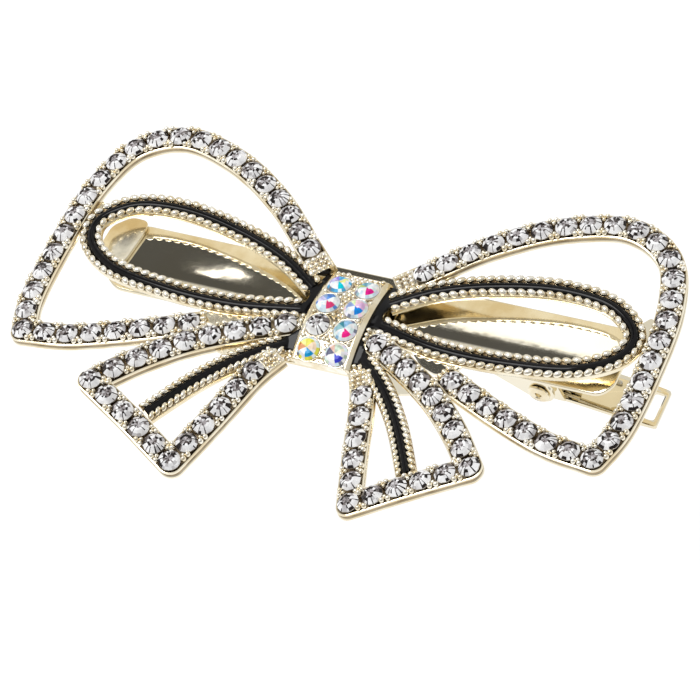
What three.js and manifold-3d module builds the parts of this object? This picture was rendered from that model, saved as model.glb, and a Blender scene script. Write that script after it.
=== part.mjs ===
// Bow-shaped rhinestone hair clip on a spring duckbill clip.
// Millimetres, +Z up. X runs along the clip, +X towards the thumb handle, +Y towards the bow's top.
// The origin is on the flat underside of the closed lower jaw, under the middle of the bow.
// The bow is mirror-symmetric about the plane x = 0, so its outlines are given for the right half
// and `side` (+1 right, -1 left) mirrors them.

import * as THREE from 'three';
import { mergeVertices } from 'three/addons/utils/BufferGeometryUtils.js';
import Module from 'manifold-3d';

const wasm = await Module();
wasm.setup();

// ---------- driving dimensions ----------

const GIRDLE_Z = 4.0; // height of the stones' widest line at the knot
const BACK_DEPTH = 2.0; // knot's back below the girdle
const GAP = 0.12; // clearance between neighbouring pieces of the casting

// stones
const STONE_RADIUS = 1.48;
const STONE_CROWN = 0.62;
const STONE_PAVILION = 1.05;
const TABLE_RATIO = 0.56; // table radius over girdle radius
const STONE_SIDES = 8;
const KNOT_STONE_SCALE = 1.1;
const BED_HALF = 0.75;
const BED_TOP = 0.62; // below the girdle
const BED_BOTTOM = 1.08;

// cup rails that carry the stone rows
const RAIL_HALF = 1.76;
const RAIL_TOP = 0.3; // below the girdle
const RAIL_DEPTH = 1.56;
const CUP_HALF = 1.3;
const CUP_FLOOR = 1.26; // below the girdle
const CUP_LEAD = 1.7; // the cups start this far before the first stone's centre

// beaded bands with an enamel channel
const BAND_HALF = 1.45;
const BAND_TOP = 0.1; // below the girdle
const BAND_DEPTH = 1.4;
const CHANNEL_HALF = 0.64;
const CHANNEL_FLOOR = 0.95;
const ENAMEL_HALF = 0.54;
const ENAMEL_TOP = 0.25;
const ENAMEL_FLOOR = 0.85;

// knot
const KNOT_HALF = 4.4;
const KNOT_TOP_Y = 3.2;
const KNOT_BOTTOM_Y = -11.2;
const KNOT_CROWN = 0.55; // middle of the dome above the girdle
const KNOT_EDGE = -0.9; // ends of the dome
const KNOT_ROWS = 4;
const KNOT_ROW_PITCH = 3.42;
const KNOT_COLUMN = 2.05; // distance of each column from the middle
const KNOT_ROWS_Y = -4.45; // middle of the four rows
const KNOT_POCKET = 1.48;
const FLANGE_HALF = 5.5;
const DOME_CHORDS = 12;
const EDGING_TOP = 0.35; // below the dome
const EDGING_FLOOR = 0.85;
const FLANGE_TOP = 0.95;
// plan of the enamel beside the knot: a wide pool at the petal, a thin line, a wide pool at the rib
const EDGING = [
  [4.46, 2.9], [5.15, 2.9], [5.35, 0.9], [5.35, -3.2], [5.1, -4.4], [4.72, -4.7], [4.72, -6.6],
  [5.1, -7.2], [5.35, -8.2], [5.3, -9.7], [4.46, -9.9],
];
const WING_START_X = 5.62;

// right half outlines, as points on smooth curves
const WING_ARC = [
  [5.2, 2.5], [8.4, 5.2], [15.9, 11.6], [24.8, 16.5], [33.2, 18.2], [39.2, 15.2],
  [42.1, 8.4], [43.0, -2.5], [42.7, -12.0], [41.4, -16.6],
];
const WING_LOWER = [[41.4, -16.6], [35.0, -16.0], [28.4, -14.0], [22.3, -11.6], [16.4, -9.0]];
const PETAL = [
  [5.0, -0.5], [11.0, 3.0], [19.0, 5.6], [28.5, 7.05], [35.5, 6.1], [39.3, 2.8],
  [38.9, -0.4], [34.5, -3.8], [25.0, -5.6], [15.0, -5.6], [5.0, -3.6],
];
const TAIL_UPPER = [[5.0, -5.8], [6.6, -6.7], [12.4, -9.9], [17.8, -13.4], [22.8, -17.8], [27.4, -22.9]];
const TAIL_END = [[27.4, -22.9], [20.3, -26.4], [12.9, -30.4]];
const TAIL_RETURN = [[12.9, -30.4], [10.4, -22.8], [7.9, -14.7], [6.3, -11.8]];
const TAIL_RIB = [[5.0, -8.7], [9.8, -12.6], [14.4, -17.9], [19.4, -25.6]];
const PETAL_WEBS = [
  [[38.6, 4.0], [40.2, 6.4], [42.0, 5.6], [42.0, 0.2], [39.9, 0.6]],
  [[14.6, -6.2], [22.0, -6.3], [20.6, -8.6], [16.0, -8.6]],
];
const RIB_WEBS = [[[5.6, -8.6], [11.5, -13.4], [14.4, -13.0], [9.0, -8.6]]];
const TIP_BRACKET = [
  [-38.4, 0.2], [-38.2, 3.6], [-36.0, 5.6], [-33.4, 5.5], [-33.2, 3.6], [-33.9, -1.6], [-36.2, -2.2],
];

// stone rows: how many, and where the first and last sit along the outline, in mm from its start
const WING_UPPER_COUNT = 10;
const WING_SIDE_COUNT = 12;
const WING_LOWER_COUNT = 7;
const TAIL_UPPER_COUNT = 9;
const TAIL_END_COUNT = 5;
const TAIL_RETURN_COUNT = 5;
const WING_FIRST = 4.2;
const WING_LOWER_LEAD = 3.3;
const WING_LOWER_TRAIL = 3.0;
const TAIL_FIRST = 1.85;
const TAIL_RETURN_LAST = 3.3;

// the wings arch gently and the tails tilt up towards their outer corners
const ARCH_RISE = 0.96;
const ARCH_MIDDLE = 25.3;
const ARCH_SPAN = 21.3;
const TAIL_SLOPE_X = 0.16;
const TAIL_SLOPE_Y = 0.068;
const TAIL_PIVOT = [4, -3];

// clip
const SHEET = 0.6; // steel thickness
const JAW_GAP = 0.3; // closed jaws
const THROUGH_Z = [-12, 4]; // from below the handle to above the gripping strip
const UPPER_HALF = 5.0;
const EAR_HALF = 4.3; // outer faces of the ears
const UPPER_TIP_X = -36.5;
const UPPER_REAR_X = 38.5;
const UPPER_Z = SHEET + JAW_GAP;
const LOWER_HALF = 3.3;
const LOWER_TIP_X = -35.8;
const HANDLE_HALF = 3.0;
const HANDLE_TAPER_X = [19.2, 26.0];
const HANDLE_SLOT_X = [40.1, 41.6];
const HANDLE_SLOT_HALF = 2.1;
const HANDLE_HOLE_X = 32.6;
const HANDLE_HOLE_RADIUS = 0.75;
const PIN_X = 27.3;
const PIN_Z = -3.0;
const PIN_RADIUS = 0.8;
const PIN_HOLE = 0.88;
const PIN_HEAD = 1.55;
const PIN_HEAD_THICKNESS = 0.5;
const EAR_RADIUS = 2.0; // upper jaw's ears, round the pin
const EAR_START_X = 18.0;
const EAR_END_X = 30.6;
const FLANGE_RADIUS = 2.3; // lower jaw's flanges, round the pin
const FLANGE_FRONT = [[21.5, 0.6], [16.5, 0.6], [16.5, 0.1], [18.3, 0.1], [24.4, -5.2], [30.0, -5.5]];
const WIRE = 0.6;
const COIL_RADIUS = 1.25;
const COIL_PITCH = 0.78;
const COIL_TURNS = 4;

// ---------- materials ----------

const gold = new THREE.MeshStandardMaterial({ color: 0xe6d3a0, metalness: 1, roughness: 0.25 });
const mirrorGold = new THREE.MeshStandardMaterial({ color: 0xd9cba4, metalness: 1, roughness: 0.08 });
const enamel = new THREE.MeshStandardMaterial({ color: 0x17141a, metalness: 0, roughness: 0.1 });
const crystal = new THREE.MeshStandardMaterial({ color: 0xe8eaee, metalness: 0, roughness: 0.03 });
const aurora = new THREE.MeshStandardMaterial({ color: 0xb9cfe8, metalness: 0, roughness: 0.03 });
const springSteel = new THREE.MeshStandardMaterial({ color: 0xb8b2a2, metalness: 1, roughness: 0.3 });
const solder = new THREE.MeshStandardMaterial({ color: 0xcbb98a, metalness: 1, roughness: 0.4 });

// ---------- solids ----------

/** A closed three.js geometry as a manifold solid. */
function solid(geometry) {
  geometry.deleteAttribute('normal');
  geometry.deleteAttribute('uv');
  const merged = mergeVertices(geometry, 1e-4);
  return new wasm.Manifold(new wasm.Mesh({
    numProp: 3,
    vertProperties: new Float32Array(merged.attributes.position.array),
    triVerts: new Uint32Array(merged.index.array),
  }));
}

/** A manifold solid as a three.js geometry. */
function geometryOf(body) {
  const mesh = body.getMesh();
  const geometry = new THREE.BufferGeometry();
  geometry.setAttribute('position', new THREE.BufferAttribute(new Float32Array(mesh.vertProperties), 3));
  geometry.setIndex(new THREE.BufferAttribute(new Uint32Array(mesh.triVerts), 1));
  return geometry;
}

function union(bodies) {
  return bodies.reduce((whole, body) => whole.add(body));
}

/** A plan outline (THREE.Shape in XY) as a slab from z = low to z = high. */
function slab(shape, low, high) {
  const geometry = new THREE.ExtrudeGeometry(shape, { depth: high - low, bevelEnabled: false });
  return solid(geometry.translate(0, 0, low));
}

/** A side outline (THREE.Shape in XZ) as a plate from y = low to y = high. */
function sidePlate(shape, low, high) {
  const geometry = new THREE.ExtrudeGeometry(shape, { depth: high - low, bevelEnabled: false });
  geometry.rotateX(Math.PI / 2);
  return solid(geometry.translate(0, high, 0));
}

function block(x0, x1, y0, y1, z0, z1) {
  const geometry = new THREE.BoxGeometry(x1 - x0, y1 - y0, z1 - z0);
  return solid(geometry.translate((x0 + x1) / 2, (y0 + y1) / 2, (z0 + z1) / 2));
}

/** A round bar along Y. */
function barY(x, z, radius, low, high, sides = 16) {
  const geometry = new THREE.CylinderGeometry(radius, radius, high - low, sides);
  return solid(geometry.translate(x, (low + high) / 2, z));
}

/** A round post along Z. */
function postZ(x, y, radius, low, high, sides = 16) {
  const geometry = new THREE.CylinderGeometry(radius, radius, high - low, sides);
  geometry.rotateX(Math.PI / 2);
  return solid(geometry.translate(x, y, (low + high) / 2));
}

function polygon(points) {
  return new THREE.Shape(points.map(([x, y]) => new THREE.Vector2(x, y)));
}

// ---------- bands along the outlines ----------

function outline(points, side) {
  const corners = points.map(([x, y]) => new THREE.Vector3(x * side, y, 0));
  return new THREE.CatmullRomCurve3(corners, false, 'centripetal');
}

/** The plan shape of a band that follows a curve between two fractions of its length. */
function bandShape(curve, half, from = 0, to = 1, step = 2.2) {
  const steps = Math.max(2, Math.round((curve.getLength() * (to - from)) / step));
  const left = [];
  const right = [];
  for (let i = 0; i <= steps; i += 1) {
    const at = Math.min(1, from + ((to - from) * i) / steps);
    const point = curve.getPointAt(at);
    const along = curve.getTangentAt(at);
    left.push(new THREE.Vector2(point.x - along.y * half, point.y + along.x * half));
    right.push(new THREE.Vector2(point.x + along.y * half, point.y - along.x * half));
  }
  return new THREE.Shape(left.concat(right.reverse()));
}

function band(curve, half, low, high) {
  return slab(bandShape(curve, half), low, high);
}

/** Bands along several curves that meet end to end, with a round corner at each meeting. */
function chain(curves, half, low, high) {
  const bodies = curves.map((curve) => band(curve, half, low, high));
  for (const curve of curves.slice(1)) {
    const corner = curve.getPointAt(0);
    bodies.push(postZ(corner.x, corner.y, half, low, high));
  }
  return union(bodies);
}

// ---------- heights ----------

/** How far the wing's arch lifts a point above the knot's level. */
function wingLift(x) {
  const across = (Math.abs(x) - ARCH_MIDDLE) / ARCH_SPAN;
  return ARCH_RISE * (1 - across * across);
}

/** How far the tail's tilt lifts a point above the knot's level. */
function tailLift(x, y) {
  return TAIL_SLOPE_X * (Math.abs(x) - TAIL_PIVOT[0]) + TAIL_SLOPE_Y * (y - TAIL_PIVOT[1]);
}

/** Moves a solid, built with its girdle at z = 0, to its place under the wing or tail surface. */
function lifted(body, lift) {
  const geometry = geometryOf(body);
  const position = geometry.attributes.position;
  for (let i = 0; i < position.count; i += 1) {
    const rise = lift(position.getX(i), position.getY(i));
    position.setZ(i, position.getZ(i) + GIRDLE_Z + rise);
  }
  return geometry;
}

// ---------- stones ----------

/** A foiled chaton: pointed pavilion, girdle at z = 0, crown and flat table. */
function chaton(scale) {
  const girdle = STONE_RADIUS * scale;
  const profile = [
    new THREE.Vector2(0, -STONE_PAVILION * scale),
    new THREE.Vector2(girdle, 0),
    new THREE.Vector2(girdle * TABLE_RATIO, STONE_CROWN * scale),
    new THREE.Vector2(0, STONE_CROWN * scale),
  ];
  const geometry = new THREE.LatheGeometry(profile, STONE_SIDES);
  return geometry.rotateX(Math.PI / 2);
}

/** A string of stones joined by their glue bed, between two distances along a curve. */
function stoneString(curve, first, last, count) {
  const length = curve.getLength();
  const bodies = [slab(bandShape(curve, BED_HALF, first / length, last / length), -BED_BOTTOM, -BED_TOP)];
  for (let i = 0; i < count; i += 1) {
    const at = first + ((last - first) * i) / (count - 1);
    const point = curve.getPointAt(Math.min(1, at / length));
    bodies.push(solid(chaton(1).translate(point.x, point.y, 0)));
  }
  return union(bodies);
}

function rowPitch(curve, first, last, count) {
  return (curve.getLength() - first - last) / (count - 1);
}

// ---------- casting ----------

/** Keeps a wing or tail piece clear of the knot and of the bands before it. */
function cutClear(body, cutters) {
  return cutters.reduce((rest, cutter) => rest.subtract(cutter), body);
}

function knotClearance() {
  return block(-WING_START_X, WING_START_X, -20, 10, -9, 9);
}

function petalClearance(side) {
  return band(outline(PETAL, side), BAND_HALF + GAP, -9, 9);
}

function tailCurves(side) {
  return [TAIL_UPPER, TAIL_END, TAIL_RETURN].map((points) => outline(points, side));
}

function wingCurves(side) {
  return [WING_ARC, WING_LOWER].map((points) => outline(points, side));
}

/** A row of cups: the rail along all the curves, grooved from just before the first stone to the last. */
function railBody(curves, firstStone, lastStone, cutters) {
  const rail = chain(curves, RAIL_HALF, -RAIL_DEPTH, -RAIL_TOP);
  const opening = curves[0];
  const closing = curves[curves.length - 1];
  const from = (firstStone - CUP_LEAD) / opening.getLength();
  const to = (closing.getLength() - lastStone + CUP_LEAD) / closing.getLength();
  const grooves = [
    slab(bandShape(opening, CUP_HALF, from, 1), -CUP_FLOOR, 1),
    slab(bandShape(closing, CUP_HALF, 0, to), -CUP_FLOOR, 1),
  ];
  for (const curve of curves.slice(1)) {
    const corner = curve.getPointAt(0);
    grooves.push(postZ(corner.x, corner.y, CUP_HALF, -CUP_FLOOR, 1));
  }
  for (const curve of curves.slice(1, -1)) {
    grooves.push(band(curve, CUP_HALF, -CUP_FLOOR, 1));
  }
  return cutClear(rail.subtract(union(grooves)), cutters);
}

function wingFrame(side) {
  const cutters = [knotClearance(), petalClearance(side)];
  cutters.push(chain(tailCurves(side), RAIL_HALF + GAP, -9, 9));
  return lifted(railBody(wingCurves(side), WING_FIRST, WING_LOWER_TRAIL, cutters), wingLift);
}

function tailFrame(side) {
  const cutters = [knotClearance(), petalClearance(side)];
  return lifted(railBody(tailCurves(side), TAIL_FIRST, TAIL_RETURN_LAST, cutters), tailLift);
}

function beadedBand(points, side, cutters) {
  const curve = outline(points, side);
  const body = band(curve, BAND_HALF, -BAND_DEPTH, -BAND_TOP);
  return cutClear(body.subtract(band(curve, CHANNEL_HALF, -CHANNEL_FLOOR, 1)), cutters);
}

function enamelFill(points, side, cutters) {
  return cutClear(band(outline(points, side), ENAMEL_HALF, -ENAMEL_FLOOR, -ENAMEL_TOP), cutters);
}

function wingClearance(side) {
  return chain(wingCurves(side), RAIL_HALF + GAP, -9, 9);
}

/** Flat webs cast between a band and its neighbours. */
function webs(outlines, side, cutters) {
  const plates = outlines.map((points) => {
    const placed = points.map(([x, y]) => [x * side, y]);
    return slab(polygon(placed), -BAND_DEPTH, -CHANNEL_FLOOR - 0.1);
  });
  return cutClear(union(plates), cutters);
}

function petalFrame(side) {
  const body = beadedBand(PETAL, side, [knotClearance()]);
  const cutters = [wingClearance(side), chain(tailCurves(side), RAIL_HALF + GAP, -9, 9)];
  return lifted(body.add(webs(PETAL_WEBS, side, cutters)), wingLift);
}

function petalEnamel(side) {
  return lifted(enamelFill(PETAL, side, [knotClearance()]), wingLift);
}

function ribCutters(side) {
  return [knotClearance(), chain(tailCurves(side), RAIL_HALF + GAP, -9, 9)];
}

function tailRib(side) {
  const cutters = ribCutters(side);
  const body = beadedBand(TAIL_RIB, side, cutters);
  return lifted(body.add(webs(RIB_WEBS, side, cutters)), tailLift);
}

function tailEnamel(side) {
  return lifted(enamelFill(TAIL_RIB, side, ribCutters(side)), tailLift);
}

/** The knot's dome is part of a cylinder along X. */
function knotRadius() {
  const halfLength = (KNOT_TOP_Y - KNOT_BOTTOM_Y) / 2;
  const rise = KNOT_CROWN - KNOT_EDGE;
  return (halfLength * halfLength + rise * rise) / (2 * rise);
}

const KNOT_RADIUS = knotRadius();
const KNOT_MIDDLE_Y = (KNOT_TOP_Y + KNOT_BOTTOM_Y) / 2;

/** Puts a stone or a pocket, built about the girdle's centre, on the dome. */
function onDome(geometry, x, y, proud) {
  const angle = Math.asin((y - KNOT_MIDDLE_Y) / KNOT_RADIUS);
  geometry.rotateX(-angle);
  const reach = KNOT_RADIUS + proud;
  const centreZ = KNOT_CROWN - KNOT_RADIUS;
  return geometry.translate(x, KNOT_MIDDLE_Y + reach * Math.sin(angle), centreZ + reach * Math.cos(angle));
}

function knotPlaces() {
  const places = [];
  for (let row = 0; row < KNOT_ROWS; row += 1) {
    const y = KNOT_ROWS_Y + ((KNOT_ROWS - 1) / 2 - row) * KNOT_ROW_PITCH;
    places.push([-KNOT_COLUMN, y], [KNOT_COLUMN, y]);
  }
  return places;
}

/** A slab across the knot from its flat back up to the dome, or to `below` under it. */
function domeSlab(half, below) {
  const centreZ = KNOT_CROWN - KNOT_RADIUS;
  const radius = KNOT_RADIUS - below;
  const spread = Math.asin((KNOT_TOP_Y - KNOT_MIDDLE_Y) / radius);
  const section = new THREE.Shape();
  section.moveTo(KNOT_BOTTOM_Y, -BACK_DEPTH);
  section.lineTo(KNOT_TOP_Y, -BACK_DEPTH);
  section.absarc(KNOT_MIDDLE_Y, centreZ, radius, Math.PI / 2 - spread, Math.PI / 2 + spread, false);
  const options = { depth: 2 * half, bevelEnabled: false, curveSegments: DOME_CHORDS };
  const geometry = new THREE.ExtrudeGeometry(section, options);
  return solid(geometry.rotateX(Math.PI / 2).rotateZ(Math.PI / 2).translate(-half, 0, 0));
}

function knotPlate() {
  let body = domeSlab(KNOT_HALF, 0).add(domeSlab(FLANGE_HALF, FLANGE_TOP));
  for (const [x, y] of knotPlaces()) {
    const pocket = new THREE.CylinderGeometry(KNOT_POCKET, KNOT_POCKET, 3, 12);
    pocket.rotateX(Math.PI / 2);
    body = body.subtract(solid(onDome(pocket, x, y, 0)));
  }
  return lifted(body, () => 0);
}

function knotStone(x, y) {
  const geometry = onDome(chaton(KNOT_STONE_SCALE), x, y, 0.2);
  return lifted(solid(geometry), () => 0);
}

function knotEnamel(side) {
  const placed = EDGING.map(([x, y]) => [x * side, y]);
  const plan = slab(polygon(placed), -BACK_DEPTH, GIRDLE_Z);
  const layer = domeSlab(FLANGE_HALF, EDGING_TOP).subtract(domeSlab(FLANGE_HALF + 1, EDGING_FLOOR));
  return lifted(plan.intersect(layer), () => 0);
}

// ---------- clip ----------

function pinHole() {
  return barY(PIN_X, PIN_Z, PIN_HOLE, -9, 9);
}

function upperJaw() {
  const half = UPPER_HALF;
  const plan = [
    [UPPER_TIP_X, -half + 3.0], [UPPER_TIP_X + 0.8, -half + 1.3], [UPPER_TIP_X + 2.6, -half],
    [UPPER_REAR_X - 1.6, -half], [UPPER_REAR_X, -half + 1.6],
  ];
  const mirrored = plan.map(([x, y]) => [x, -y]).reverse();
  const plate = slab(polygon(plan.concat(mirrored)), UPPER_Z, UPPER_Z + SHEET);
  const ear = new THREE.Shape();
  ear.moveTo(EAR_START_X, UPPER_Z + SHEET / 2);
  ear.lineTo(PIN_X - EAR_RADIUS * 0.6, PIN_Z - EAR_RADIUS * 0.8);
  ear.absarc(PIN_X, PIN_Z, EAR_RADIUS, -Math.PI * 0.7, Math.PI * 0.25, false);
  ear.lineTo(EAR_END_X, UPPER_Z + SHEET / 2);
  const far = sidePlate(ear, EAR_HALF - SHEET, EAR_HALF);
  const near = sidePlate(ear, -EAR_HALF, -EAR_HALF + SHEET);
  return geometryOf(plate.add(far).add(near).subtract(pinHole()));
}

/** The lower jaw's side view, along the middle of the sheet: gripping strip, step down under the pin, handle. */
const LOWER_PATH = [
  [LOWER_TIP_X, SHEET / 2], [18.2, SHEET / 2], [24.4, -5.2], [30.0, -5.5], [42.2, -7.7],
];

function lowerJaw() {
  const plan = [
    [LOWER_TIP_X, -LOWER_HALF + 1.9], [LOWER_TIP_X + 1.6, -LOWER_HALF], [HANDLE_TAPER_X[0], -LOWER_HALF],
    [HANDLE_TAPER_X[1], -HANDLE_HALF], [HANDLE_SLOT_X[1], -HANDLE_HALF],
    [HANDLE_SLOT_X[1] + 0.8, -HANDLE_HALF + 0.8],
  ];
  const mirrored = plan.map(([x, y]) => [x, -y]).reverse();
  const footprint = slab(polygon(plan.concat(mirrored)), ...THROUGH_Z);
  const upper = LOWER_PATH.map(([x, z]) => [x, z + SHEET / 2]);
  const lower = LOWER_PATH.map(([x, z]) => [x, z - SHEET / 2]).reverse();
  const bent = sidePlate(polygon(upper.concat(lower)), -LOWER_HALF - 1, LOWER_HALF + 1);
  const strip = bent.intersect(footprint);
  const flange = polygon(FLANGE_FRONT);
  flange.absarc(PIN_X, PIN_Z, FLANGE_RADIUS, 0, Math.PI * 0.55, false);
  const far = sidePlate(flange, LOWER_HALF - SHEET, LOWER_HALF);
  const near = sidePlate(flange, -LOWER_HALF, -LOWER_HALF + SHEET);
  const slot = block(...HANDLE_SLOT_X, -HANDLE_SLOT_HALF, HANDLE_SLOT_HALF, ...THROUGH_Z);
  const hole = postZ(HANDLE_HOLE_X, 0, HANDLE_HOLE_RADIUS, ...THROUGH_Z, 12);
  return geometryOf(strip.add(far).add(near).subtract(pinHole()).subtract(slot).subtract(hole));
}

function pivotPin() {
  const outer = EAR_HALF + 0.1;
  const head = PIN_HEAD_THICKNESS;
  const shaft = barY(PIN_X, PIN_Z, PIN_RADIUS, -outer - head / 2, outer + head / 2);
  const near = barY(PIN_X, PIN_Z, PIN_HEAD, -outer - head, -outer);
  const far = barY(PIN_X, PIN_Z, PIN_HEAD, outer, outer + head);
  return geometryOf(shaft.add(near).add(far));
}

/** A round wire along a list of points. */
function wire(points, steps) {
  const path = new THREE.CatmullRomCurve3(points.map(([x, y, z]) => new THREE.Vector3(x, y, z)));
  const ring = new THREE.Shape();
  ring.absarc(0, 0, WIRE / 2, 0, Math.PI * 2, false);
  return new THREE.ExtrudeGeometry(ring, { steps, extrudePath: path, bevelEnabled: false, curveSegments: 3 });
}

function torsionSpring() {
  const points = [];
  const stepsPerTurn = 12;
  const half = (COIL_TURNS * COIL_PITCH) / 2;
  points.push([PIN_X + 9, -half, PIN_Z + 3.45], [PIN_X + 4.5, -half, PIN_Z + 2.2]);
  for (let i = 0; i <= COIL_TURNS * stepsPerTurn; i += 1) {
    const angle = Math.PI / 2 + (i / stepsPerTurn) * Math.PI * 2;
    const y = -half + (i / stepsPerTurn) * COIL_PITCH;
    points.push([PIN_X + COIL_RADIUS * Math.cos(angle), y, PIN_Z + COIL_RADIUS * Math.sin(angle)]);
  }
  return wire(points, points.length);
}

function springLowerLeg() {
  const y = (COIL_TURNS * COIL_PITCH) / 2;
  return wire([[PIN_X + 2.1, y, PIN_Z - 1.2], [PIN_X + 4, y, PIN_Z - 1.9], [PIN_X + 8.5, y, PIN_Z - 2.85]], 6);
}

function solderPad(x0, x1, half, high) {
  return geometryOf(block(x0, x1, -half, half, UPPER_Z + SHEET + 0.05, high));
}

/** The flat bracket in the left petal's tip that carries the clip's tip. */
function tipBracket() {
  return geometryOf(slab(polygon(TIP_BRACKET), UPPER_Z + SHEET + 0.05, UPPER_Z + 2 * SHEET));
}

// ---------- assembly ----------

const clip = new THREE.Group();

function place(name, geometry, material) {
  const mesh = new THREE.Mesh(geometry, material);
  mesh.name = name;
  clip.add(mesh);
}

function placeStones(prefix, side) {
  const [arc, lower] = wingCurves(side);
  const [upper, end, back] = tailCurves(side);
  const arcCount = WING_UPPER_COUNT + WING_SIDE_COUNT;
  const pitch = rowPitch(arc, WING_FIRST, 0, arcCount);
  const upperLast = WING_FIRST + pitch * (WING_UPPER_COUNT - 1);
  const sideFirst = upperLast + pitch;
  const strings = [
    ['wing_upper_stones', arc, WING_FIRST, upperLast, WING_UPPER_COUNT, wingLift],
    ['wing_side_stones', arc, sideFirst, arc.getLength(), WING_SIDE_COUNT, wingLift],
    ['wing_lower_stones', lower, WING_LOWER_LEAD, lower.getLength() - WING_LOWER_TRAIL,
      WING_LOWER_COUNT, wingLift],
    ['tail_upper_stones', upper, TAIL_FIRST, upper.getLength(), TAIL_UPPER_COUNT, tailLift],
    ['tail_end_stones', end, end.getLength() / TAIL_END_COUNT, end.getLength(), TAIL_END_COUNT, tailLift],
    ['tail_return_stones', back, (back.getLength() - TAIL_RETURN_LAST) / TAIL_RETURN_COUNT,
      back.getLength() - TAIL_RETURN_LAST, TAIL_RETURN_COUNT, tailLift],
  ];
  for (const [name, curve, first, last, count, lift] of strings) {
    place(`${prefix}_${name}`, lifted(stoneString(curve, first, last, count), lift), crystal);
  }
}

for (const [prefix, side] of [['left', -1], ['right', 1]]) {
  place(`${prefix}_wing_frame`, wingFrame(side), gold);
  place(`${prefix}_petal_frame`, petalFrame(side), gold);
  place(`${prefix}_tail_frame`, tailFrame(side), gold);
  place(`${prefix}_tail_rib`, tailRib(side), gold);
  place(`${prefix}_petal_enamel`, petalEnamel(side), enamel);
  place(`${prefix}_tail_enamel`, tailEnamel(side), enamel);
  place(`${prefix}_knot_enamel`, knotEnamel(side), enamel);
  placeStones(prefix, side);
}

place('knot_plate', knotPlate(), gold);
knotPlaces().forEach(([x, y], index) => {
  place(`knot_stone_${index + 1}`, knotStone(x, y), index === 4 ? crystal : aurora);
});

place('upper_jaw', upperJaw(), mirrorGold);
place('lower_jaw', lowerJaw(), mirrorGold);
place('pivot_pin', pivotPin(), gold);
place('torsion_spring', torsionSpring(), springSteel);
place('spring_lower_leg', springLowerLeg(), springSteel);
place('tip_bracket', tipBracket(), gold);
place('solder_pad_knot', solderPad(-4, 4, 3.2, GIRDLE_Z - BACK_DEPTH - 0.05), solder);

export default clip;
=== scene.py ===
"""Looks of the bow-shaped rhinestone hair clip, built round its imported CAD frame.

Every length below is in millimetres in the CAD's frame: X along the clip, +X to the handle, +Y to the
bow's top, +Z out of its face. `side` is +1 for the right half and -1 for the mirrored left half.
"""

import math
import random

import bmesh
import bpy
import numpy as np
from mathutils import Matrix, Vector


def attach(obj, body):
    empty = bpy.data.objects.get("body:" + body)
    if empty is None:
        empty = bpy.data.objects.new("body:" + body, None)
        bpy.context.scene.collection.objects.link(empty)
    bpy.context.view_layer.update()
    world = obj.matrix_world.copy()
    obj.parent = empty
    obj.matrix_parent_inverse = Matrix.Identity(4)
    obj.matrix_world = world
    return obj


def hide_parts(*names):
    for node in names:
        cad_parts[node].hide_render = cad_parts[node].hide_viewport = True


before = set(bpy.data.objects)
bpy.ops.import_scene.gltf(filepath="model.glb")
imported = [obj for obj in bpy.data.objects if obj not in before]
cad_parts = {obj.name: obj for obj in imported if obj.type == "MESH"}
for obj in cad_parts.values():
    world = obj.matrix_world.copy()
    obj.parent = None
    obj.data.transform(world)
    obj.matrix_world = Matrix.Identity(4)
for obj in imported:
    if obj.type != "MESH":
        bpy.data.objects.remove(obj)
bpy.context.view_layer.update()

MM = 0.001
ROOT = "upper_clip_and_bow"
JAW = "lower_jaw"
SIDES = (("left", -1), ("right", 1))
rng = random.Random(11)

# ---------- driving dimensions ----------
# They are the CAD's, but the rail of the tail's return runs on to the knot and the stones are less deep.

GIRDLE_Z = 4.0
WING_ARC = [
    (5.2, 2.5), (8.4, 5.2), (15.9, 11.6), (24.8, 16.5), (33.2, 18.2), (39.2, 15.2),
    (42.1, 8.4), (43.0, -2.5), (42.7, -12.0), (41.4, -16.6),
]
WING_LOWER = [(41.4, -16.6), (35.0, -16.0), (28.4, -14.0), (22.3, -11.6), (16.4, -9.0)]
PETAL = [
    (5.0, -0.5), (11.0, 3.0), (19.0, 5.6), (28.5, 7.05), (35.5, 6.1), (39.3, 2.8),
    (38.9, -0.4), (34.5, -3.8), (25.0, -5.6), (15.0, -5.6), (5.0, -3.6),
]
TAIL_UPPER = [(5.0, -5.8), (6.6, -6.7), (12.4, -9.9), (17.8, -13.4), (22.8, -17.8), (27.4, -22.9)]
TAIL_END = [(27.4, -22.9), (20.3, -26.4), (12.9, -30.4)]
TAIL_RETURN = [(12.9, -30.4), (10.4, -22.8), (7.9, -14.7), (6.0, -10.8)]
TAIL_RIB = [(5.0, -8.7), (9.8, -12.6), (14.4, -17.9), (19.4, -25.6)]
WING_COUNTS = (10, 12, 7)
TAIL_COUNTS = (9, 5, 5)
WING_FIRST = 4.2
WING_LOWER_LEAD = 3.3
WING_LOWER_TRAIL = 3.0
TAIL_FIRST = 1.85
TAIL_RETURN_LAST = 4.3

STONE_RADIUS = 1.48
STONE_CROWN = 0.62
STONE_PAVILION = 1.0
TABLE_RATIO = 0.56
KNOT_STONE_SCALE = 1.1
RAIL_HALF = 1.76
RAIL_TOP = -0.3
RAIL_BOTTOM = -1.56
GROOVE_HALF = 1.42
GROOVE_FLOOR = -1.1
BAND_HALF = 1.45
BAND_BOTTOM = -1.4
CHANNEL_HALF = 0.64
START_X = 5.55  # wings, petals and tails meet the knot here

KNOT_TOP_Y = 3.2
KNOT_BOTTOM_Y = -11.2
KNOT_CROWN = 0.55
KNOT_EDGE = -0.9
KNOT_BACK = -2.0
KNOT_COLUMN = 2.05
KNOT_ROW_PITCH = 3.42
KNOT_ROWS_Y = -4.45
FLANGE_HALF = 5.5

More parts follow.
